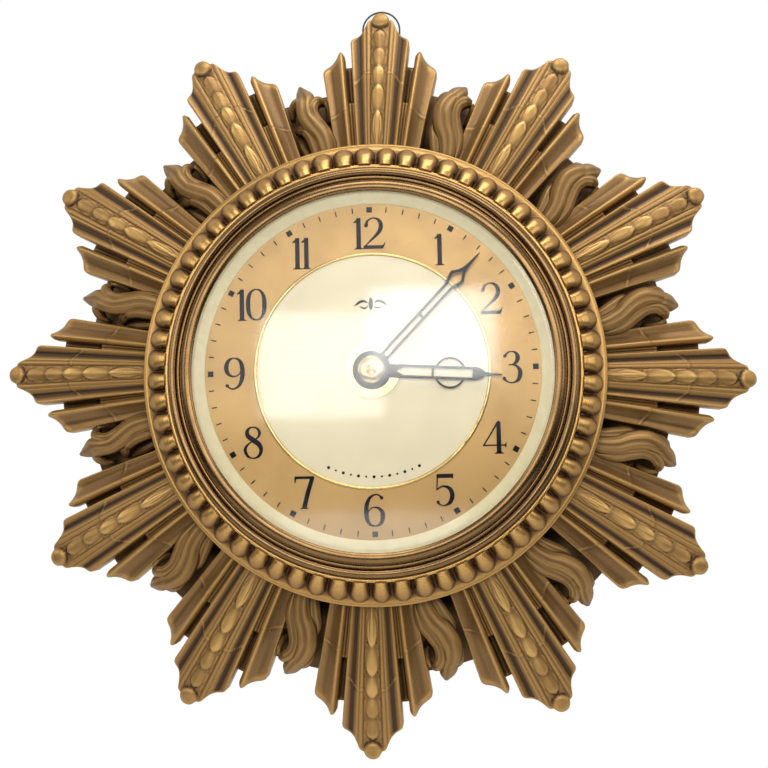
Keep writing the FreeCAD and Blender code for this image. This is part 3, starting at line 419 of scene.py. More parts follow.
def ray_shell(columns, rows, edge, height, thin, hollow_to=TIP_RADIUS):
    """A ray as a hollow shell, open at the back.

    columns are angles from the group's own axis. Along each, rows fractions run from the drum to edge(angle).
    height(radius, angle) is the front surface. The hollow is thin times coarser and ends before hollow_to.
    """
    columns = np.asarray(columns, dtype=float)
    root = DRUM_OUTER - 1.5
    common = 0.86 * edge(columns).min()
    t = np.asarray(rows)[:, None]
    inner = root + (common - root) * np.clip(t / ROW_SPLIT, 0, 1)
    outer = (edge(columns)[None, :] - common) * np.clip((t - ROW_SPLIT) / (1 - ROW_SPLIT), 0, 1)
    radius = inner + outer
    angle = np.broadcast_to(columns[None, :], radius.shape)
    front = clock_points(radius, angle, height(radius, angle))
    n_rows, n_columns = radius.shape
    loop = border_loop(n_rows, n_columns)
    border = np.array([front[i, j] for i, j in loop])
    skirt = [border * [1, 1, 0] + [0, 0, 1] * (REAR + (border[:, 2:3] - REAR) * left) for left in (0.5, 0.0)]

    row_pick, nearest_row = thinned(n_rows, thin)
    column_pick, nearest_column = thinned(n_columns, thin)
    middle = 0.5 * (columns[0] + columns[-1])
    half = 0.5 * (columns[-1] - columns[0])
    coarse_r = radius[np.ix_(row_pick, column_pick)]
    coarse_a = angle[np.ix_(row_pick, column_pick)]
    end_r = coarse_r[-1:, :]
    depth = np.minimum(end_r, hollow_to) - root - 2 * WALL
    inset_r = root + WALL + (coarse_r - root) * depth / (end_r - root)
    inset_a = middle + (coarse_a - middle) * (1 - np.degrees(WALL / inset_r) / half)
    inside = clock_points(inset_r, inset_a, np.maximum(height(inset_r, inset_a) - WALL, REAR + 0.6))
    c_rows, c_columns = coarse_r.shape
    c_loop = border_loop(c_rows, c_columns)
    mouth = np.array([inside[i, j] for i, j in c_loop]) * [1, 1, 0] + [0, 0, REAR]

    points = np.concatenate([front.reshape(-1, 3)] + skirt + [mouth, inside.reshape(-1, 3)])
    count, small = len(loop), len(c_loop)
    at_skirt = n_rows * n_columns
    at_mouth = at_skirt + 2 * count
    at_inside = at_mouth + small
    faces = [face[::-1] for face in grid_faces(n_rows, n_columns)]
    ring_front = [i * n_columns + j for i, j in loop]
    ring_half = [at_skirt + k for k in range(count)]
    ring_rear = [at_skirt + count + k for k in range(count)]
    for upper, lower in ((ring_front, ring_half), (ring_half, ring_rear)):
        faces += [(upper[k], upper[(k + 1) % count], lower[(k + 1) % count], lower[k]) for k in range(count)]
    place = {key: at_mouth + k for k, key in enumerate(c_loop)}
    partner = [place[(nearest_row[i], nearest_column[j])] for i, j in loop]
    for k in range(count):
        a, b = partner[k], partner[(k + 1) % count]
        faces.append((ring_rear[k], ring_rear[(k + 1) % count]) + ((a,) if a == b else (b, a)))
    ring_inside = [at_inside + i * c_columns + j for i, j in c_loop]
    faces += [(at_mouth + k, at_mouth + (k + 1) % small, ring_inside[(k + 1) % small], ring_inside[k])
              for k in range(small)]
    faces += grid_faces(c_rows, c_columns, start=at_inside)
    return points, faces, radius.size


def polyline(x, knots):
    """Straight lines through (x, value) knots."""
    a, b = np.array(knots).T
    return np.interp(x, a, b)


CENTRE_ROOF = [(100.0, 34.8), (158.0, 22.0), (200.0, 7.8)]
SIDE_ROOF = [(100.0, 33.6), (139.0, 24.0), (200.0, 0.8)]
HUSKS = [(113.0, 138.0), (136.0, 152.8), (150.6, 164.2), (162.2, 175.2), (173.4, 186.3)]
KNOB = (192.7, 4.7)         # radius at which the knob on the tip stands, and its size
SLOT_END = 169.3
ROW_SPLIT = 0.8             # share of a ray's rows that lie on plain arcs, before they follow its outline


def centre_edge(angle):
    """Outline of the centre ray's end: coved shoulders, a short step and a round tip."""
    return polyline(np.abs(angle), [
        (0.0, 197.4), (0.4, 197.2), (0.75, 196.6), (1.05, 195.5), (1.25, 194.2), (1.4, 193.2), (1.7, 193.0),
        (2.0, 192.3), (2.2, 191.2), (2.4, 189.4), (2.7, 187.2), (3.1, 185.4), (3.6, 183.9), (4.1, 182.8),
        (4.6, 181.7), (4.85, 180.9), (5.0, 179.8)])


def husk_relief(radius, x):
    """The chain of bellflower husks down the middle of a centre ray; x is the distance across, in mm."""
    height = np.zeros_like(radius)
    for k, (start, end) in enumerate(HUSKS):
        t = (radius - start) / (end - start)
        on = (t > 0) & (t < 1)
        cap = np.sqrt(np.clip(1 - (np.clip(t - 0.68, 0, 1) / 0.32) ** 2, 0, 1))
        swell = 0.55 + 0.45 * np.sin(0.5 * math.pi * np.clip(t / 0.66, 0, 1))
        half = (2.8 if k == 0 else 3.35) * swell * cap + 1e-3
        half = half * (np.clip(t / 0.55, 0.15, 1) if k == 0 else 1.0)
        s = np.clip(np.abs(x) / half, 0, 1)
        barrel = np.sqrt(1 - s ** 2) * (1.0 + 1.1 * np.clip(t, 0, 1)) * cap ** 0.4
        crease = 0.38 if k == 0 else 0.12
        barrel -= crease * np.exp(-((s - 0.42) / 0.13) ** 2) * ramp(t, 0.05, 0.3) * (1 - ramp(t, 0.7, 0.92))
        flare = (2.6 + 2.1 * bump(t, -0.1, 1.0)) * (0.35 + 0.65 * cap) + 1e-3
        flare = flare * (np.clip(t / 0.5, 0.3, 1) if k == 0 else 1.0)
        w = np.clip(np.abs(x) / flare, 0, 1)
        wing = 0.55 * (1 - w ** 8) * (1 - ramp(t, 0.55, 0.85))
        height = np.where(on, np.maximum(height, np.maximum(wing, barrel)), height)
    away = np.clip(((radius - KNOB[0]) ** 2 + x ** 2) / KNOB[1] ** 2, 0, 1)
    return np.maximum(height, 2.1 * np.sqrt(1 - away))


def feather_line(radius, angle, middle, sweep, near, far):
    """A slight raised line across a cove, swept back towards the drum at its outer side."""
    at = middle - sweep * ramp(np.abs(angle), near, far)
    return 0.32 * np.exp(-((radius - at) / 0.5) ** 2) - 0.25 * ramp(radius, at + 0.2, at + 1.4)


def centre_height(radius, angle):
    """Front of a centre ray: a band for the husks between grooves, then a cove down to each side."""
    a = np.abs(angle)
    profile = -0.34 * np.exp(-((a - 1.5) / 0.10) ** 2) + 0.35 * bump(a, 1.5, 2.36)
    profile += -0.30 * np.exp(-((a - 2.4) / 0.09) ** 2) - 1.9 * bump(a, 2.35, 4.8)
    profile += -0.7 * ramp(a, 4.84, 5.0)
    fade = 1 - 0.7 * ramp(radius, 186.0, 193.0)
    line = feather_line(radius, angle, 160.0, 6.5, 2.4, 4.9) * (a > 1.5)
    round_over = -0.8 * (1 - ramp(centre_edge(angle) - radius, 0.0, 1.0)) ** 2
    husk = husk_relief(radius, radius * np.radians(angle)) * (a < 1.5)
    return roof(radius, CENTRE_ROOF) + profile * fade + line + husk + round_over


def side_edge(angle):
    """Outline of a side ray's end: a round point near its inner edge, then a cove to the outer corner."""
    return polyline(np.abs(angle), [
        (6.3, 173.6), (6.5, 175.0), (6.75, 175.9), (7.0, 176.2), (7.25, 175.8), (7.5, 174.7), (7.8, 173.2),
        (8.2, 171.9), (8.7, 170.8), (9.2, 169.9), (9.7, 169.1), (10.1, 168.3), (10.4, 167.3), (10.6, 166.0)])


def side_height(radius, angle):
    """Front of a side ray: a bead along its inner edge and a cove falling to the outer one."""
    a = np.abs(angle)
    profile = 1.9 * bump(a, 6.0, 7.9) - 2.4 * ramp(a, 7.0, 10.4)
    profile += -1.3 * bump(a, 7.4, 10.35) - 1.2 * ramp(a, 10.42, 10.65)
    line = feather_line(radius, angle, 140.5, 3.5, 7.4, 10.4)
    round_over = -0.8 * (1 - ramp(side_edge(angle) - radius, 0.0, 1.0)) ** 2
    return roof(radius, SIDE_ROOF) + profile + line + round_over


def slot_edge(angle):
    return np.full(np.shape(angle), SLOT_END)


def slot_height(radius, angle):
    """Two narrow lands beside the centre ray as far as the step, then the slot's deeper floor."""
    a = np.abs(angle)
    step = 1 - ramp(radius, 145.2, 145.8)
    reeds = 0.7 * ridge(a, 4.95, 5.6) + 0.7 * ridge(a, 5.6, 6.3)
    high = roof(radius, SIDE_ROOF) - 2.8 + reeds
    low = roof(radius, SIDE_ROOF) - 8.8 + 0.5 * bump(a, 5.0, 6.4)
    return np.maximum(high * step + low * (1 - step), 4.2)


def spaced(stops):
    """Values from (start, end, step) stretches, each finer or coarser."""
    values = []
    for start, end, step in stops:
        values += list(np.arange(start, end - 1e-6, step))
    return values + [stops[-1][1]]


def ray_group(shell, name, masks_of, replaces=()):
    """One piece from a copy of the shell in every group."""
    points, faces, front_count = shell
    masks = {key: np.tile(values, GROUPS) for key, values in masks_of(points, front_count).items()}
    points, faces = turned_copies(points, faces, GROUPS)
    make_piece(name, points, faces, GILT_RAYS, slot="gilt_casting", replaces=replaces, masks=masks, relief=6)


def polar_of(points):
    """Radius and clockwise angle of each point."""
    return np.hypot(points[:, 0], points[:, 1]), np.degrees(np.arctan2(points[:, 0], points[:, 1]))


# Masks: gild is where the paint is rubbed to bright gold and where highlights are painted on,
# shade is painted shade. Backs are evenly dull, with an even painted shade.
def centre_masks(points, front_count):
    radius, angle = polar_of(points)
    a = np.abs(angle)
    front = np.arange(len(points)) < front_count
    husk = husk_relief(radius, radius * np.radians(angle)) * (a < 1.5)
    gild = front * ramp(husk, 0.8, 1.5) * (1 - 0.85 * ramp(radius, 161.0, 175.0)) * 0.62
    # painted shade in the two grooves, on the inner part of each cove, in the creases between husks and at
    # the root
    lines = np.exp(-((a - 1.5) / 0.10) ** 2) + 0.7 * np.exp(-((a - 2.4) / 0.09) ** 2)
    inner_cove = 0.22 * ramp(a, 2.4, 2.7) * (1 - ramp(a, 2.9, 4.0))
    junctions = sum(np.exp(-((radius - end - 0.3) / 0.6) ** 2) for _, end in HUSKS) * (a < 1.5)
    root = 1 - ramp(radius, *ROOT_FADE)
    shade = np.clip(0.30 * lines + 0.5 * inner_cove + 0.42 * junctions + 0.5 * root, 0, 1)
    # side walls and backs get an even painted shade
    return {"gild": gild, "shade": shade * front + 0.15 * (~front)}


def side_masks(points, front_count):
    radius, angle = polar_of(points)
    a = np.abs(angle)
    front = np.arange(len(points)) < front_count
    gild = front * bump(a, 6.6, 7.5) * 0.22
    # painted shade in the cove beside the bead and at the root; side walls and backs get an even painted
    # shade
    shade = np.clip(0.30 * bump(a, 7.3, 8.8) + 0.5 * (1 - ramp(radius, *ROOT_FADE)), 0, 1)
    return {"gild": gild, "shade": shade * front + 0.2 * (~front)}


def slot_masks(points, front_count):
    radius, angle = polar_of(points)
    # all painted shade: the floor past the step darker, easing towards its outer end, and a line between the
    # reeds
    deep = ramp(radius, 144.8, 146.2) * (1 - 0.35 * ramp(radius, 156.0, 168.0))
    shade = 0.25 + 0.50 * deep + 0.45 * np.exp(-((np.abs(angle) - 5.6) / 0.09) ** 2)
    return {"gild": 0 * radius, "shade": np.clip(shade, 0, 0.97)}


LOBE_FULLNESS = 1.28
POINTED_GROUPS = (8, 9, 10, 11)
# Lobes of the leaves between the ray groups: (across, outwards, height, half-width) along each lobe.
CURLED_LEAF = [
    [(5.0, 112, 29, 3.0), (5.2, 120, 27.5, 3.4), (3.2, 128, 26, 4.0), (-0.6, 135, 25, 4.5), (-2.6, 142, 24,
                                                                                             4.6),
     (-1.6, 148, 22, 4.2), (0.8, 153, 19.5, 3.0), (3.0, 156, 17.5, 1.2)],
    [(8.4, 112, 26, 1.8), (8.9, 121, 25.5, 2.3), (8.2, 129, 25, 2.6), (5.2, 136, 24.5, 2.6), (3.2, 142, 24,
                                                                                              2.4),
     (3.8, 147.5, 23, 2.3), (6.8, 151.2, 21, 2.2), (10.0, 151.8, 18, 1.0)],
    [(-1.5, 145, 21, 3.0), (0.8, 152, 19.5, 3.8), (3.2, 157, 16.5, 2.9), (4.6, 160.6, 13.0, 0.6)],
    [(-5.2, 139, 19, 1.2), (-5.6, 145, 20, 2.2), (-4.4, 151, 18, 2.4), (-1.0, 154.6, 16, 1.2)],
    [(-5.8, 137, 19, 0.8), (-5.2, 132, 22, 2.2), (-2.6, 126, 24, 2.8), (-0.4, 119, 25, 2.4), (0.6, 112, 26,
                                                                                              1.8)],
    [(10.2, 151.6, 17, 0.8), (11.2, 147.5, 15, 1.5), (10.4, 143.5, 13, 1.4), (8.6, 141.4, 12, 0.7)],
    [(10.6, 138.5, 13, 0.6), (11.0, 133, 15, 1.5), (10.4, 126, 16, 1.7), (10.0, 118, 17, 1.2)],
]
POINTED_LEAF = [
    [(3.6, 112, 29, 3.0), (4.6, 120, 27.5, 3.5), (4.0, 128, 26, 4.0), (1.0, 135, 25, 4.2), (-1.2, 141, 24,
                                                                                            3.8),
     (-1.0, 147, 22.5, 3.8), (0.0, 152, 19.5, 4.0), (-0.8, 157, 16, 2.6), (-1.4, 161.8, 12.5, 0.5)],
    [(7.4, 112, 26, 1.7), (8.0, 121, 25.5, 2.2), (6.8, 129, 25, 2.4), (4.4, 136, 24, 2.2), (2.6, 142, 23.5,
                                                                                            2.2),
     (3.6, 147.2, 22, 2.3), (6.6, 149.6, 19.5, 2.0), (9.6, 148.8, 16.5, 0.9)],
    [(-2.0, 150.5, 19, 2.4), (-5.2, 151.5, 17.5, 2.2), (-8.4, 149.0, 15, 1.6), (-9.4, 145.0, 13, 0.9)],
    [(-9.2, 137.6, 16, 0.9), (-6.6, 136.4, 20, 2.0), (-3.2, 134.6, 23, 2.8), (-0.8, 129, 24.5, 3.0),
     (-0.2, 121, 25.5, 2.6), (0.0, 112, 26.5, 2.0)],
    [(9.8, 148.6, 16, 0.8), (10.6, 144.5, 14, 1.5), (9.6, 140.4, 12.5, 1.2), (7.8, 139.0, 11.5, 0.6)],
    [(-8.8, 134.5, 14, 0.6), (-7.4, 128, 16, 1.6), (-5.6, 121, 17, 1.8), (-4.6, 114, 18, 1.3)],
]


def lobe_mesh(stations):
    """One lobe swept along its stations: a low ridged back with two flutes, over a narrower foot."""
    knots = np.array(stations, dtype=float)
    padded = np.concatenate([2 * knots[:1] - knots[1:2], knots, 2 * knots[-1:] - knots[-2:-1]])
    path = smooth_path(padded, 5)
    along = np.gradient(path[:, :2], axis=0)
    along /= np.linalg.norm(along, axis=1)[:, None]
    side = np.stack([along[:, 1], -along[:, 0]], axis=1)
    width = np.maximum(LOBE_FULLNESS * path[:, 3], 0.25)
    s = np.linspace(-1, 1, 13)
    back = 0.66 * (1 - np.abs(s) ** 2.4) - 0.07 * np.cos(2.5 * math.pi * s) * (1 - s ** 2)
    lateral = np.concatenate([s, [0.9, -0.9]])
    rise = np.concatenate([back, [-1.0, -1.0]])
    ring_size = len(lateral)
    points, flank = [], []
    for place, normal, half in zip(path, side, width):
        drop = np.where(rise < -0.5, -max(1.2, min(6.0, place[2] - 5.0)), rise * half)
        points.append(np.stack([place[0] + normal[0] * lateral * half, place[1] + normal[1] * lateral * half,
                                place[2] + drop], axis=1))
        # painted shade on the lower flanks and the foot of the lobe
        flank.append(np.where(np.abs(lateral) > 0.88, 0.75, 0.0) * (rise < 0.2) + np.where(rise < -0.5, 0.3,
                                                                                           0))
    count = len(path)
    faces = grid_faces(count, ring_size, wrap=True)
    faces.append(tuple(range(ring_size))[::-1])
    faces.append(tuple((count - 1) * ring_size + k for k in range(ring_size)))
    return np.concatenate(points), faces, np.clip(np.concatenate(flank), 0, 1)


def build_leaves():
    """A flame-shaped acanthus leaf in each valley; the ones at the upper left end in a point."""
    points, faces, shade = [], [], []
    start = 0
    random = np.random.default_rng(7)
    for group in range(GROUPS):
        bearing = math.radians(PITCH * (group + 0.5) + random.uniform(-0.35, 0.35))
        stretch = random.uniform(0.985, 1.01)
        for stations in POINTED_LEAF if group in POINTED_GROUPS else CURLED_LEAF:
            local, lobe_faces, lobe_shade = lobe_mesh(stations)
            across, out, height = local.T
            out = DRUM_OUTER + (out - DRUM_OUTER) * stretch
            points.append(np.stack([*turned_plane(across, out, -bearing), height], axis=1))
            faces += [tuple(v + start for v in face) for face in lobe_faces]
            # painted shade over the whole leaf, more on the flanks and towards the drum
            shade.append(np.clip(lobe_shade + 0.34 + 0.5 * (1 - ramp(out, 116.5, 121.0)), 0, 1))
            start += len(local)
    shade = np.concatenate(shade)
    make_piece("acanthus_leaves", np.concatenate(points), faces, GILT_RAYS, slot="gilt_casting",
               masks={"gild": 0 * shade, "shade": shade}, relief=4)


def build_rays():
    """Centre rays, the two kinds of side ray and the floors of the slots between them."""
    half_columns = spaced([(0, 1.44, 0.18), (1.44, 1.59, 0.05), (1.59, 2.31, 0.18), (2.31, 2.49, 0.06),
                           (2.49, 4.59, 0.3), (4.59, 5.0, 0.137)])
    centre_columns = [-a for a in half_columns[:0:-1]] + half_columns
    rows = list(np.linspace(0, ROW_SPLIT, 62)) + list(np.linspace(ROW_SPLIT, 1.0, 62))[1:]
    shell = ray_shell(centre_columns, rows, centre_edge, centre_height, 4, hollow_to=165.0)
    ray_group(shell, "centre_rays", centre_masks, replaces=["sunburst_casting"])

    side_columns = spaced([(6.3, 7.9, 0.16), (7.9, 10.2, 0.26), (10.2, 10.6, 0.1)])
    side_rows = list(np.linspace(0, ROW_SPLIT, 52)) + list(np.linspace(ROW_SPLIT, 1.0, 18))[1:]
    for name, sign in (("side_rays_right", 1), ("side_rays_left", -1)):
        columns = [sign * a for a in side_columns][::sign]
        ray_group(ray_shell(columns, side_rows, side_edge, side_height, 4, hollow_to=160.0), name, side_masks)

    for name, sign in (("slot_floors_right", 1), ("slot_floors_left", -1)):
        columns = [sign * a for a in spaced([(4.9, 6.5, 0.1)])][::sign]
        ray_group(ray_shell(columns, np.linspace(0, 1.0, 80), slot_edge, slot_height, 8), name, slot_masks)


# ---- sunburst: bead ring, drum and web ----
BEAD_START, BEAD_LENGTH = 104.4, 10.1
WEB_SEGMENTS = 180


def build_bead_ring():
    """Thumb-shaped beads, square at the bezel's seat and rounded at the flange, over the drum behind them."""
    radii = np.array([103.4, 103.9, 104.25, 104.4] + spaced([(104.7, 110.2, 0.55), (110.2, 114.8, 0.3),
                                                             (114.8, 116.9, 0.35)]))
    per_bead = 24
    u = np.linspace(-1, 1, per_bead, endpoint=False)
    random = np.random.default_rng(3)
    widths = random.uniform(0.80, 0.95, BEADS)
    shifts = random.uniform(-0.05, 0.05, BEADS)
    angles = np.concatenate([(k + 0.5 + 0.5 * u) * 360.0 / BEADS for k in range(BEADS)])
    across = np.concatenate([(u - shift) / width for width, shift in zip(widths, shifts)])[None, :]
    r = radii[:, None]
    v = np.clip((r - BEAD_START) / BEAD_LENGTH, 0, 1)
    outline = np.where(v < 0.58, 0.90 + 0.10 * ramp(v, 0.05, 0.5),
                       np.sqrt(np.clip(1 - ((v - 0.58) / 0.42) ** 2, 0, 1))) + 1e-3
    s = np.abs(across) / outline
    inside = (r > 104.3) & (v < 0.999)
    gap = np.interp(r, [103.4, 104.2, 104.6, 108.0, 112.0, 113.6, 114.8, 115.3, 116.3, 116.9],
                    [46.2, 46.2, 42.0, 41.4, 40.0, 39.4, 38.8, 38.9, 38.7, 38.0])
    seam = np.exp(-((1 - np.abs(across)) / 0.05) ** 2) * ramp(r, 105, 106) * (1 - ramp(r, 111, 113))
    gap = gap + 0.5 * seam
    ledge = np.interp(r, [104.3, 110.0, 114.6], [45.2, 42.6, 39.5])
    crown = np.interp(v, [0.0, 0.25, 0.6, 0.85, 1.0], [2.5, 2.7, 2.2, 1.1, 0.2])
    body = ledge + 0.25 * (1 - s ** 6) + crown * np.sqrt(np.clip(1 - (s / 0.86) ** 2, 0, 1))
    height = np.where(inside & (s < 1), np.maximum(body, gap), gap)
    points = clock_points(r, angles[None, :], height)
    rows, columns = height.shape
    faces = [face[::-1] for face in grid_faces(rows, columns, wrap=True)]
    on_bead = inside & (s < 1)
    # painted shade along each bead's border, in the gaps and down the bead's sides
    border = on_bead * ramp(s, 0.80, 0.90) * ramp(v, 0.1, 0.4)
    deep = (~on_bead) * ramp(r, 104.2, 104.5) * (1 - ramp(r, 111.2, 113.4))
    shade = np.clip(0.92 * deep + 0.60 * border + 0.25 * on_bead * ramp(s, 0.5, 0.9), 0, 1)
    # the flange and the strip under the beads are lightened, and each bead gets a painted highlight at its
    # inner end
    flange = ramp(r, 113.0, 114.6) * (~on_bead)
    strip = (1 - ramp(r, 104.1, 104.4)) + 0 * across
    gild = np.clip(0.45 * flange + 0.85 * strip + on_bead * (1 - ramp(s, 0.3, 0.8)) * (0.8 - 0.6 * v), 0, 1)
    under = [(116.9, 36.0), (112.2, 34.6), (112.0, 0.0), (109.0, 0.0), (109.0, 36.0), (104.0, 42.0),
             (88.0, 42.0), (88.0, 47.0), (92.6, 47.0), (92.6, SEAT), (102.0, SEAT), (102.0, 46.2)]
    under_points = np.concatenate([clock_points(rad, angles, z) for rad, z in under])
    start = rows * columns
    faces += [face[::-1] for face in grid_faces(len(under), columns, start=start, wrap=True)]
    last_front, last_under = (rows - 1) * columns, start + (len(under) - 1) * columns
    for j in range(columns):
        k = (j + 1) % columns
        faces.append((last_front + j, start + j, start + k, last_front + k))
        faces.append((last_under + j, j, k, last_under + k))
    all_points = np.concatenate([points.reshape(-1, 3), under_points])
    none = np.zeros(len(under_points))
    # the drum behind the beads gets an even painted shade
    make_piece("bead_ring_and_drum", all_points, faces, GILT_BEADS, slot="gilt_casting", relief=3,
               masks={"gild": np.concatenate([gild.reshape(-1), none]),
                      "shade": np.concatenate([shade.reshape(-1), none + 0.4])})


def build_web():
    """The thin floor of the casting, seen dark between the groups; its darkness is painted shade."""
    inner = DRUM_OUTER - 1.0
    profile = [(155.0, 3.5), (155.0, 5.2), (154.5, 5.6), (140.0, 6.0), (inner, 6.0), (inner, 3.5)]
    # painted shade: the floor's colour is darkened almost fully
    even = np.ones(len(profile) * WEB_SEGMENTS)
    lathe("valley_floor", profile, GILT_RAYS, segments=WEB_SEGMENTS, slot="gilt_casting",
          masks={"gild": 0 * even, "shade": 0.96 * even}, relief=2)


# ---- bezel, glass and sight ring ----
def build_bezel():
    """Turned brass: outer torus, a reed between grooves, a broad ovolo and the lip on the glass."""
    profile = [(BEZEL_OUTER, SEAT), (BEZEL_OUTER, 47.6)] + arc((99.7, 49.4), 2.1, 0, 155, 18)
    profile += [(97.55, 49.75), (97.25, 49.6)] + arc((96.45, 50.35), 0.85, -20, 200, 14)
    profile += [(95.45, 49.95), (95.2, 49.95)] + arc((94.4, 50.7), 0.8, -20, 130, 10)
    profile += arc((91.9, 49.4), 3.6, 38, 112, 20) + [(89.9, 52.2), (89.6, 51.9), (89.6, LENS_EDGE)]
    profile += [(GLASS_RADIUS + 0.3, LENS_EDGE), (GLASS_RADIUS + 0.3, SEAT)]
    lathe("bezel", profile, BEZEL_BRASS, segments=360, slot="bezel_brass", replaces=["bezel_ring"])


def dome(radius, edge_radius, edge, apex):
    """Height at a radius on a spherical cap that falls from apex to edge."""
    rise = apex - edge
    sphere = (edge_radius ** 2 + rise ** 2) / (2 * rise)
    return apex - sphere + math.sqrt(sphere ** 2 - radius ** 2)


def build_glass():
    """Spherical dome with a flat rim, closed over the whole dial."""
    rings = 40
    wide, narrow = LENS_RADII
    low_edge, low_apex = LENS_EDGE - LENS_RIM, LENS_APEX - LENS_THICK
    outer = [(wide * (i / rings), dome(wide * i / rings, wide, LENS_EDGE, LENS_APEX))
             for i in range(1, rings + 1)]
    inner = [(narrow * (i / rings), dome(narrow * i / rings, narrow, low_edge, low_apex))
             for i in range(rings, 0, -1)]
    profile = outer + [(GLASS_RADIUS, LENS_EDGE), (GLASS_RADIUS, low_edge)] + inner
    segments = 192
    angles = np.arange(segments) * 360.0 / segments
    points = np.concatenate([clock_points(r, angles, z) for r, z in profile]
                            + [np.array([[0, 0, LENS_APEX], [0, 0, low_apex]])])
    faces = [face[::-1] for face in grid_faces(len(profile), segments, wrap=True)]
    top, low = len(profile) * segments, len(profile) * segments + 1
    last = (len(profile) - 1) * segments
    faces += [(j, (j + 1) % segments, top)[::-1] for j in range(segments)]
    faces += [(last + (j + 1) % segments, last + j, low)[::-1] for j in range(segments)]
    make_piece("glass_dome", points, faces, GLASS, slot="lens_glass", replaces=["domed_lens"])


def build_sight_ring():
    """Stepped cone from the edge of the visible dial up to the seat of the glass."""
    inner = DIAL_VISIBLE
    profile = [(inner, DIAL_FACE), (inner, DIAL_FACE + 0.15), (inner + 0.25, DIAL_FACE + 0.28)]
    profile += [(inner + 0.6 * i, DIAL_FACE + 0.28 + 0.165 * i) for i in range(1, 8)]
    profile += [(88.4, DIAL_FACE + 1.6), (89.0, DIAL_FACE + 1.6), (89.0, LENS_EDGE - 1.25),
                (GLASS_RADIUS, LENS_EDGE - 1.25), (GLASS_RADIUS, DIAL_FACE)]
    lathe("sight_ring_cone", profile[::-1], SIGHT_PAINT, slot="sight_paint", replaces=["sight_ring"])


# ---- printed dial ----
def pen_stroke(points):
    """Outline of a pen stroke through (x, y, width) points, smoothed between them."""
    points = np.array(points, dtype=float)
    path = smooth_path(np.concatenate([points[:1], points, points[-1:]]), 10)
    along = np.gradient(path[:, :2], axis=0)
    along /= np.linalg.norm(along, axis=1)[:, None] + 1e-9
    side = np.stack([-along[:, 1], along[:, 0]], axis=1) * path[:, 2:3] / 2
    return path[:, :2] + side, path[:, :2] - side


def round_dot(x, y, radius, steps):
    """Upper and lower edge of a round dot."""
    t = np.linspace(0, math.pi, steps)
    return [np.stack([x - radius * np.cos(t), y + sign * radius * np.sin(t)], axis=1) for sign in (1, -1)]


THICK, THIN, SERIF = 140, 42, 32     # thousandths of a figure's height, as all numbers in the table
NUMERAL_HEIGHT, NUMERAL_RADIUS = 16.1, 68.8
DOT_RADIUS = 52.5           # of the row of dots, from the dial's axis
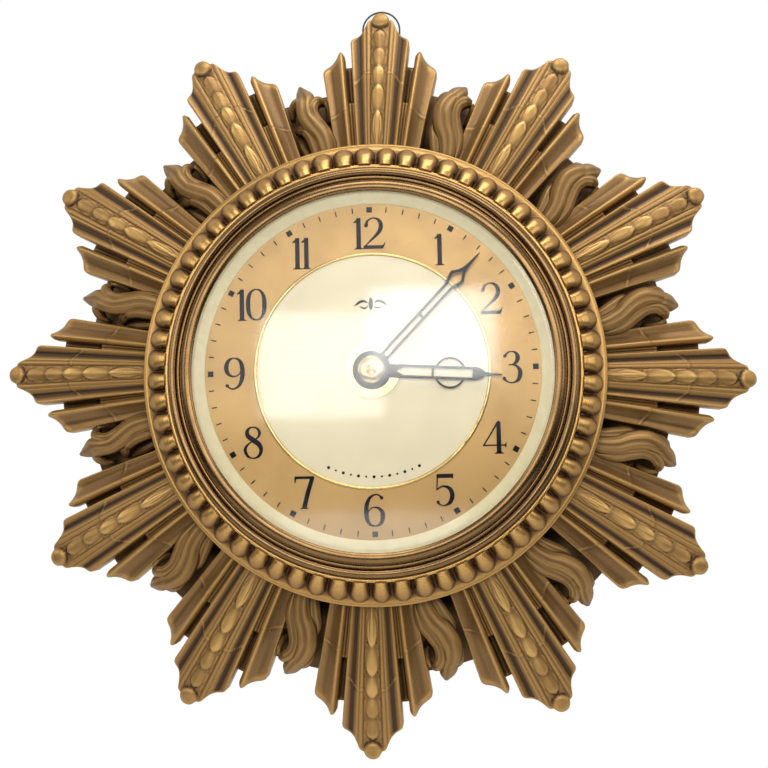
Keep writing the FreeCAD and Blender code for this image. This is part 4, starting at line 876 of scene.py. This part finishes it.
# Each figure: advance, strokes as (x, y, width) points, and ball ends as (x, y, diameter).
FIGURES = {
    "0": (660, [[(0, 980, THIN), (-130, 930, 70), (-230, 760, 120), (-255, 500, THICK), (-230, 240, 120),
          (-130, 70, 70), (0, 20, THIN)], [(0, 980, THIN), (130, 930, 70), (230, 760, 120),
          (255, 500, THICK), (230, 240, 120), (130, 70, 70), (0, 20, THIN)]], []),
    "1": (280, [[(20, 10, THICK), (20, 300, THICK), (20, 700, THICK), (20, 985, 0.96 * THICK)],
          [(70, 955, 50), (-20, 900, 90), (-135, 840, 30)], [(-120, 16, SERIF), (160, 16, SERIF)],
          [(20, 20, 190), (20, 75, THICK)]], []),
    "2": (720, [[(-235, 740, 100), (-200, 880, 65), (-20, 972, THIN), (150, 900, 100), (215, 730, THICK),
          (150, 530, 120), (-50, 320, 70), (-240, 140, THIN), (-310, 30, THIN)], [(-335, 60, 110),
          (280, 60, 110)], [(240, 60, 110), (300, 120, 50), (340, 210, 20)]], [(-245, 745, 125)]),
    "3": (660, [[(-200, 860, 70), (-100, 950, 55), (20, 975, THIN), (140, 920, 90), (190, 780, THICK),
          (130, 640, 100), (20, 575, THIN), (-90, 565, THIN)], [(0, 575, THIN), (140, 530, 70),
          (235, 410, 120), (250, 270, THICK), (190, 110, 110), (70, 30, 60), (-40, 20, THIN),
          (-150, 60, 55), (-240, 140, 70)]], [(-200, 845, 110), (-235, 150, 115)]),
    "4": (720, [[(120, 10, THICK), (120, 500, THICK), (120, 975, 120)], [(150, 985, 35), (80, 930, 60),
          (-140, 580, 45), (-345, 262, 45)], [(-370, 260, 45), (330, 260, 45)], [(315, 190, 30),
          (325, 260, 50), (335, 340, 20)], [(-20, 16, SERIF), (260, 16, SERIF)], [(120, 20, 190),
          (120, 70, THICK)]], []),
    "5": (620, [[(-225, 925, 125), (270, 925, 125)], [(262, 990, 30), (250, 840, 30)], [(-215, 970, 50),
          (-220, 750, THIN), (-235, 500, THIN)], [(-235, 505, THIN), (-120, 590, 50), (20, 605, 70),
          (170, 520, 120), (230, 330, THICK), (170, 140, 120), (60, 50, 70), (-60, 25, THIN),
          (-160, 70, 50), (-220, 130, 60)]], [(-205, 135, 100)]),
    "6": (680, [[(215, 880, 60), (120, 955, 50), (0, 965, 55), (-150, 870, 90), (-245, 650, 130),
          (-260, 400, THICK), (-220, 180, 120), (-120, 50, 70), (10, 20, THIN)], [(-235, 360, 35),
          (-160, 510, 40), (-30, 585, THIN), (120, 555, 80), (225, 430, 130), (240, 270, THICK),
          (190, 120, 110), (100, 40, 70), (10, 20, THIN)]], [(215, 870, 110)]),
    "7": (660, [[(-300, 955, 85), (300, 955, 85)], [(-290, 980, 50), (-285, 880, 50), (-300, 790, 25)],
          [(235, 930, 0.9 * THICK), (100, 500, THICK), (-20, 20, THICK)], [(-140, 16, SERIF),
          (120, 16, SERIF)]], []),
    "8": (660, [[(0, 975, THIN), (-120, 940, 65), (-190, 830, 120), (-160, 700, THICK), (0, 570, 160),
          (170, 440, 150), (240, 270, 120), (180, 100, 90), (80, 30, 60), (0, 20, THIN)], [(0, 975, THIN),
          (120, 930, 65), (195, 810, 90), (160, 680, 60), (50, 585, THIN), (-120, 480, 50),
          (-230, 360, 85), (-250, 240, 100), (-180, 90, 80), (-80, 30, 50), (0, 20, THIN)]], []),
}


def figure(character):
    """Advance, strokes and ball ends of one figure of height 1; a nine is a six turned round."""
    advance, strokes, balls = FIGURES["6" if character == "9" else character]
    rows = [np.array(part, dtype=float).reshape(-1, 3) / 1000 for part in strokes + [balls]]
    if character == "9":
        rows = [row * [-1, -1, 1] + [0, 1, 0] for row in rows]
    return advance / 1000, rows[:-1], rows[-1]


def raised(outline_pairs, face_height):
    """Strips between two edges, raised to a thin closed layer of ink on a face."""
    low, high = face_height + INK_LOW, face_height + INK_HIGH
    points, faces = [], []
    for left, right in outline_pairs:
        start, n = len(points), len(left)
        for level in (low, high):
            points += [(x, y, level) for x, y in left] + [(x, y, level) for x, y in right]
        bottom_l, bottom_r, top_l, top_r = start, start + n, start + 2 * n, start + 3 * n
        for i in range(n - 1):
            faces.append((top_l + i, top_r + i, top_r + i + 1, top_l + i + 1))
            faces.append((bottom_l + i, bottom_l + i + 1, bottom_r + i + 1, bottom_r + i))
            faces.append((bottom_l + i, top_l + i, top_l + i + 1, bottom_l + i + 1))
            faces.append((bottom_r + i, bottom_r + i + 1, top_r + i + 1, top_r + i))
        faces.append((bottom_l, bottom_r, top_r, top_l))
        end = n - 1
        faces.append((bottom_l + end, top_l + end, top_r + end, bottom_r + end))
    return points, faces


def twist_dial(points):
    """Turn dial points anticlockwise with the dial."""
    turned = np.array(points, dtype=float)
    turned[:, 0], turned[:, 1] = turned_plane(turned[:, 0], turned[:, 1], math.radians(DIAL_TWIST))
    return turned


def build_numerals():
    """The twelve hours, upright and all in one piece."""
    strips = []
    for hour in range(1, 13):
        text = str(hour)
        bearing = math.radians(30 * hour)
        centre = np.array([NUMERAL_RADIUS * math.sin(bearing), NUMERAL_RADIUS * math.cos(bearing)])
        x = -0.5 * sum(figure(c)[0] for c in text)
        for character in text:
            advance, strokes, balls = figure(character)
            middle = np.array([x + advance / 2, -0.5])
            pairs = [pen_stroke(stroke) for stroke in strokes]
            pairs += [round_dot(cx, cy, 0.5 * size, 12) for cx, cy, size in balls]
            strips += [[(edge + middle) * NUMERAL_HEIGHT + centre for edge in pair] for pair in pairs]
            x += advance
    points, faces = raised(strips, DIAL_FACE)
    make_piece("dial_figures", twist_dial(points), faces, INK, slot="print_ink", smooth=False,
               replaces=["hour_numerals"])


def build_ornament():
    """A generic fleuron below the twelve and a row of small dots low on the disc."""
    strips = []

    def add(points, mirror=True):
        for sign in ((1, -1) if mirror else (1,)):
            strips.append(pen_stroke([(sign * x, y, w) for x, y, w in points]))

    add([(0.0, 36.6, 0.1), (0.0, 34.9, 1.7), (0.0, 33.0, 2.2), (0.0, 31.2, 1.5), (0.0, 29.6, 0.1)],
        mirror=False)
    add([(1.5, 33.4, 0.3), (3.2, 34.6, 1.1), (5.4, 34.2, 1.3), (7.2, 33.0, 0.8), (8.2, 32.2, 0.2)])
    add([(1.4, 32.2, 0.3), (2.6, 31.2, 0.8), (4.2, 31.2, 0.8), (5.6, 32.0, 0.2)])
    for i in range(-6, 7):
        bearing = math.radians(180 + 4.2 * i)
        size = 0.75 if i % 2 == 0 else 0.5
        strips.append(round_dot(DOT_RADIUS * math.sin(bearing), DOT_RADIUS * math.cos(bearing), size, 9))
    points, faces = raised(strips, DISC_FACE)
    make_piece("dial_fleuron", twist_dial(points), faces, INK, slot="print_ink", smooth=False,
               replaces=["dial_ornament"])


# ---- CAD nodes that keep their shape ----
KEPT = (
    (STEEL, "bezel_screws plate_screws centre_arbor cannon_pinion minute_wheel_stud motor_pinion "
            "motor_screws setting_arbor back_cover_screws hanger_saddles saddle_screws"),
    (DIAL_GOLD, "dial_plate"),
    (CHAMPAGNE, "centre_disc"),
    (BRASS, "centre_border hand_cap dial_nut centre_bush front_plate back_plate plate_pillars plate_nuts "
            "minute_wheel hour_wheel centre_wheel train_wheel_1 train_wheel_2 motor_posts terminal_screws"),
    (INK, "minute_markers"),
    (HAND_BLACK, "hour_hand minute_hand minute_hand_collet"),
    (FIBRE, "dial_washer"),
    (SPRING, "clutch_spring"),
    (COPPER, "motor_can"),
    (LAMINATION, "motor_core"),
    (BOBBIN, "coil_bobbin"),
    (TAPE, "coil_winding"),
    (LEAD, "coil_leads"),
    (PHENOLIC, "terminal_block setting_knob"),
    (COVER, "back_cover"),
    (RUBBER, "inlet_grommet"),
    (LOOP_WIRE, "hanging_loop"),
)


def dress_cad_nodes():
    """Give every CAD node that keeps its shape its material."""
    for material, names in KEPT:
        for name in names.split():
            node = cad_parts[name]
            node.data.materials.clear()
            node.data.materials.append(material)


# ---- camera, lights and floor ----
def build_camera():
    """The camera stands a little right of and below the clock's axis.

    It is six hundred millimetres from the dial.
    """
    distance, focal = 600.0, 56.86
    yaw, pitch, roll = math.radians(-2.98), math.radians(-4.61), math.radians(1.14)
    offset = np.array([-5.865, 6.736, -distance])
    cy, sy, cp, sp = math.cos(yaw), math.sin(yaw), math.cos(pitch), math.sin(pitch)
    turn_y = np.array([[cy, 0, sy], [0, 1, 0], [-sy, 0, cy]])
    turn_x = np.array([[1, 0, 0], [0, cp, -sp], [0, sp, cp]])

    def turn_z(a):
        return np.array([[math.cos(a), -math.sin(a), 0], [math.sin(a), math.cos(a), 0], [0, 0, 1]])
    view = turn_z(roll) @ turn_x @ turn_y @ turn_z(-math.radians(DIAL_TWIST))
    place = -view.T @ offset + [0, 0, DIAL_FACE]
    stand = np.array([[1, 0, 0], [0, 0, -1], [0, 1, 0]])
    matrix = np.eye(4)
    matrix[:3, :3] = stand @ view.T
    matrix[:3, 3] = stand @ place * MM
    camera = bpy.data.cameras.new("camera")
    camera.lens, camera.sensor_width = focal, 36.0
    holder = bpy.data.objects.new("camera", camera)
    holder.matrix_world = Matrix(matrix.tolist())
    bpy.context.scene.collection.objects.link(holder)
    bpy.context.scene.camera = holder


def area_light(name, place, size, power):
    """A rectangular white light aimed at the middle of the frame; size is its width and height."""
    light = bpy.data.lights.new(name, "AREA")
    light.shape = "RECTANGLE"
    light.size, light.size_y = size
    light.energy = power
    holder = bpy.data.objects.new(name, light)
    holder.location = place
    holder.rotation_euler = (-Vector(place)).to_track_quat("-Z", "Y").to_euler()
    bpy.context.scene.collection.objects.link(holder)


def build_studio():
    """White behind the clock and overhead, dark below, with five area lights and a pale floor."""
    world = bpy.data.worlds.new("studio")
    bpy.context.scene.world = world
    world.use_nodes = True
    g = Graph(world.node_tree)
    background = g.nodes["Background"]
    background.inputs["Color"].default_value = (1.0, 1.0, 1.0, 1.0)
    direction, split = g.nodes.new("ShaderNodeTexCoord"), g.nodes.new("ShaderNodeSeparateXYZ")
    g.links.new(direction.outputs["Generated"], split.inputs[0])
    behind = g.spread(split.outputs["Y"], 0.0, 0.1)
    room = g.spread(split.outputs["Z"], -0.22, 0.04, 0.01, 0.50)
    g.links.new(g.combine("MAXIMUM", behind, room), background.inputs["Strength"])
    bpy.context.scene.view_settings.view_transform = "Standard"
    area_light("overhead", (0.20, -0.42, 1.25), (1.4, 0.6), 15.0)
    area_light("window", (0.27, -1.30, 0.33), (0.74, 0.52), 5.4)
    area_light("window_left", (-0.36, -1.30, 0.13), (0.74, 0.60), 4.0)
    area_light("side_right", (1.15, -0.60, 0.40), (0.5, 0.9), 3.6)
    area_light("side_left", (-1.15, -0.60, 0.40), (0.5, 0.9), 3.6)
    disc_points = clock_points(np.repeat([0.001, 400.0, 900.0], 64), np.tile(np.arange(64) * 5.625, 3), 0.0)
    mesh = bpy.data.meshes.new("floor")
    mesh.from_pydata((disc_points * MM).tolist(), [], grid_faces(3, 64, wrap=True))
    floor = bpy.data.objects.new("floor", mesh)
    floor.location = (0, 0, -0.52)
    mesh.materials.append(FLOOR)
    bpy.context.scene.collection.objects.link(floor)


build_camera()
build_studio()
build_rays()
build_leaves()
build_bead_ring()
build_web()
build_bezel()
build_glass()
build_sight_ring()
build_numerals()
build_ornament()
dress_cad_nodes()
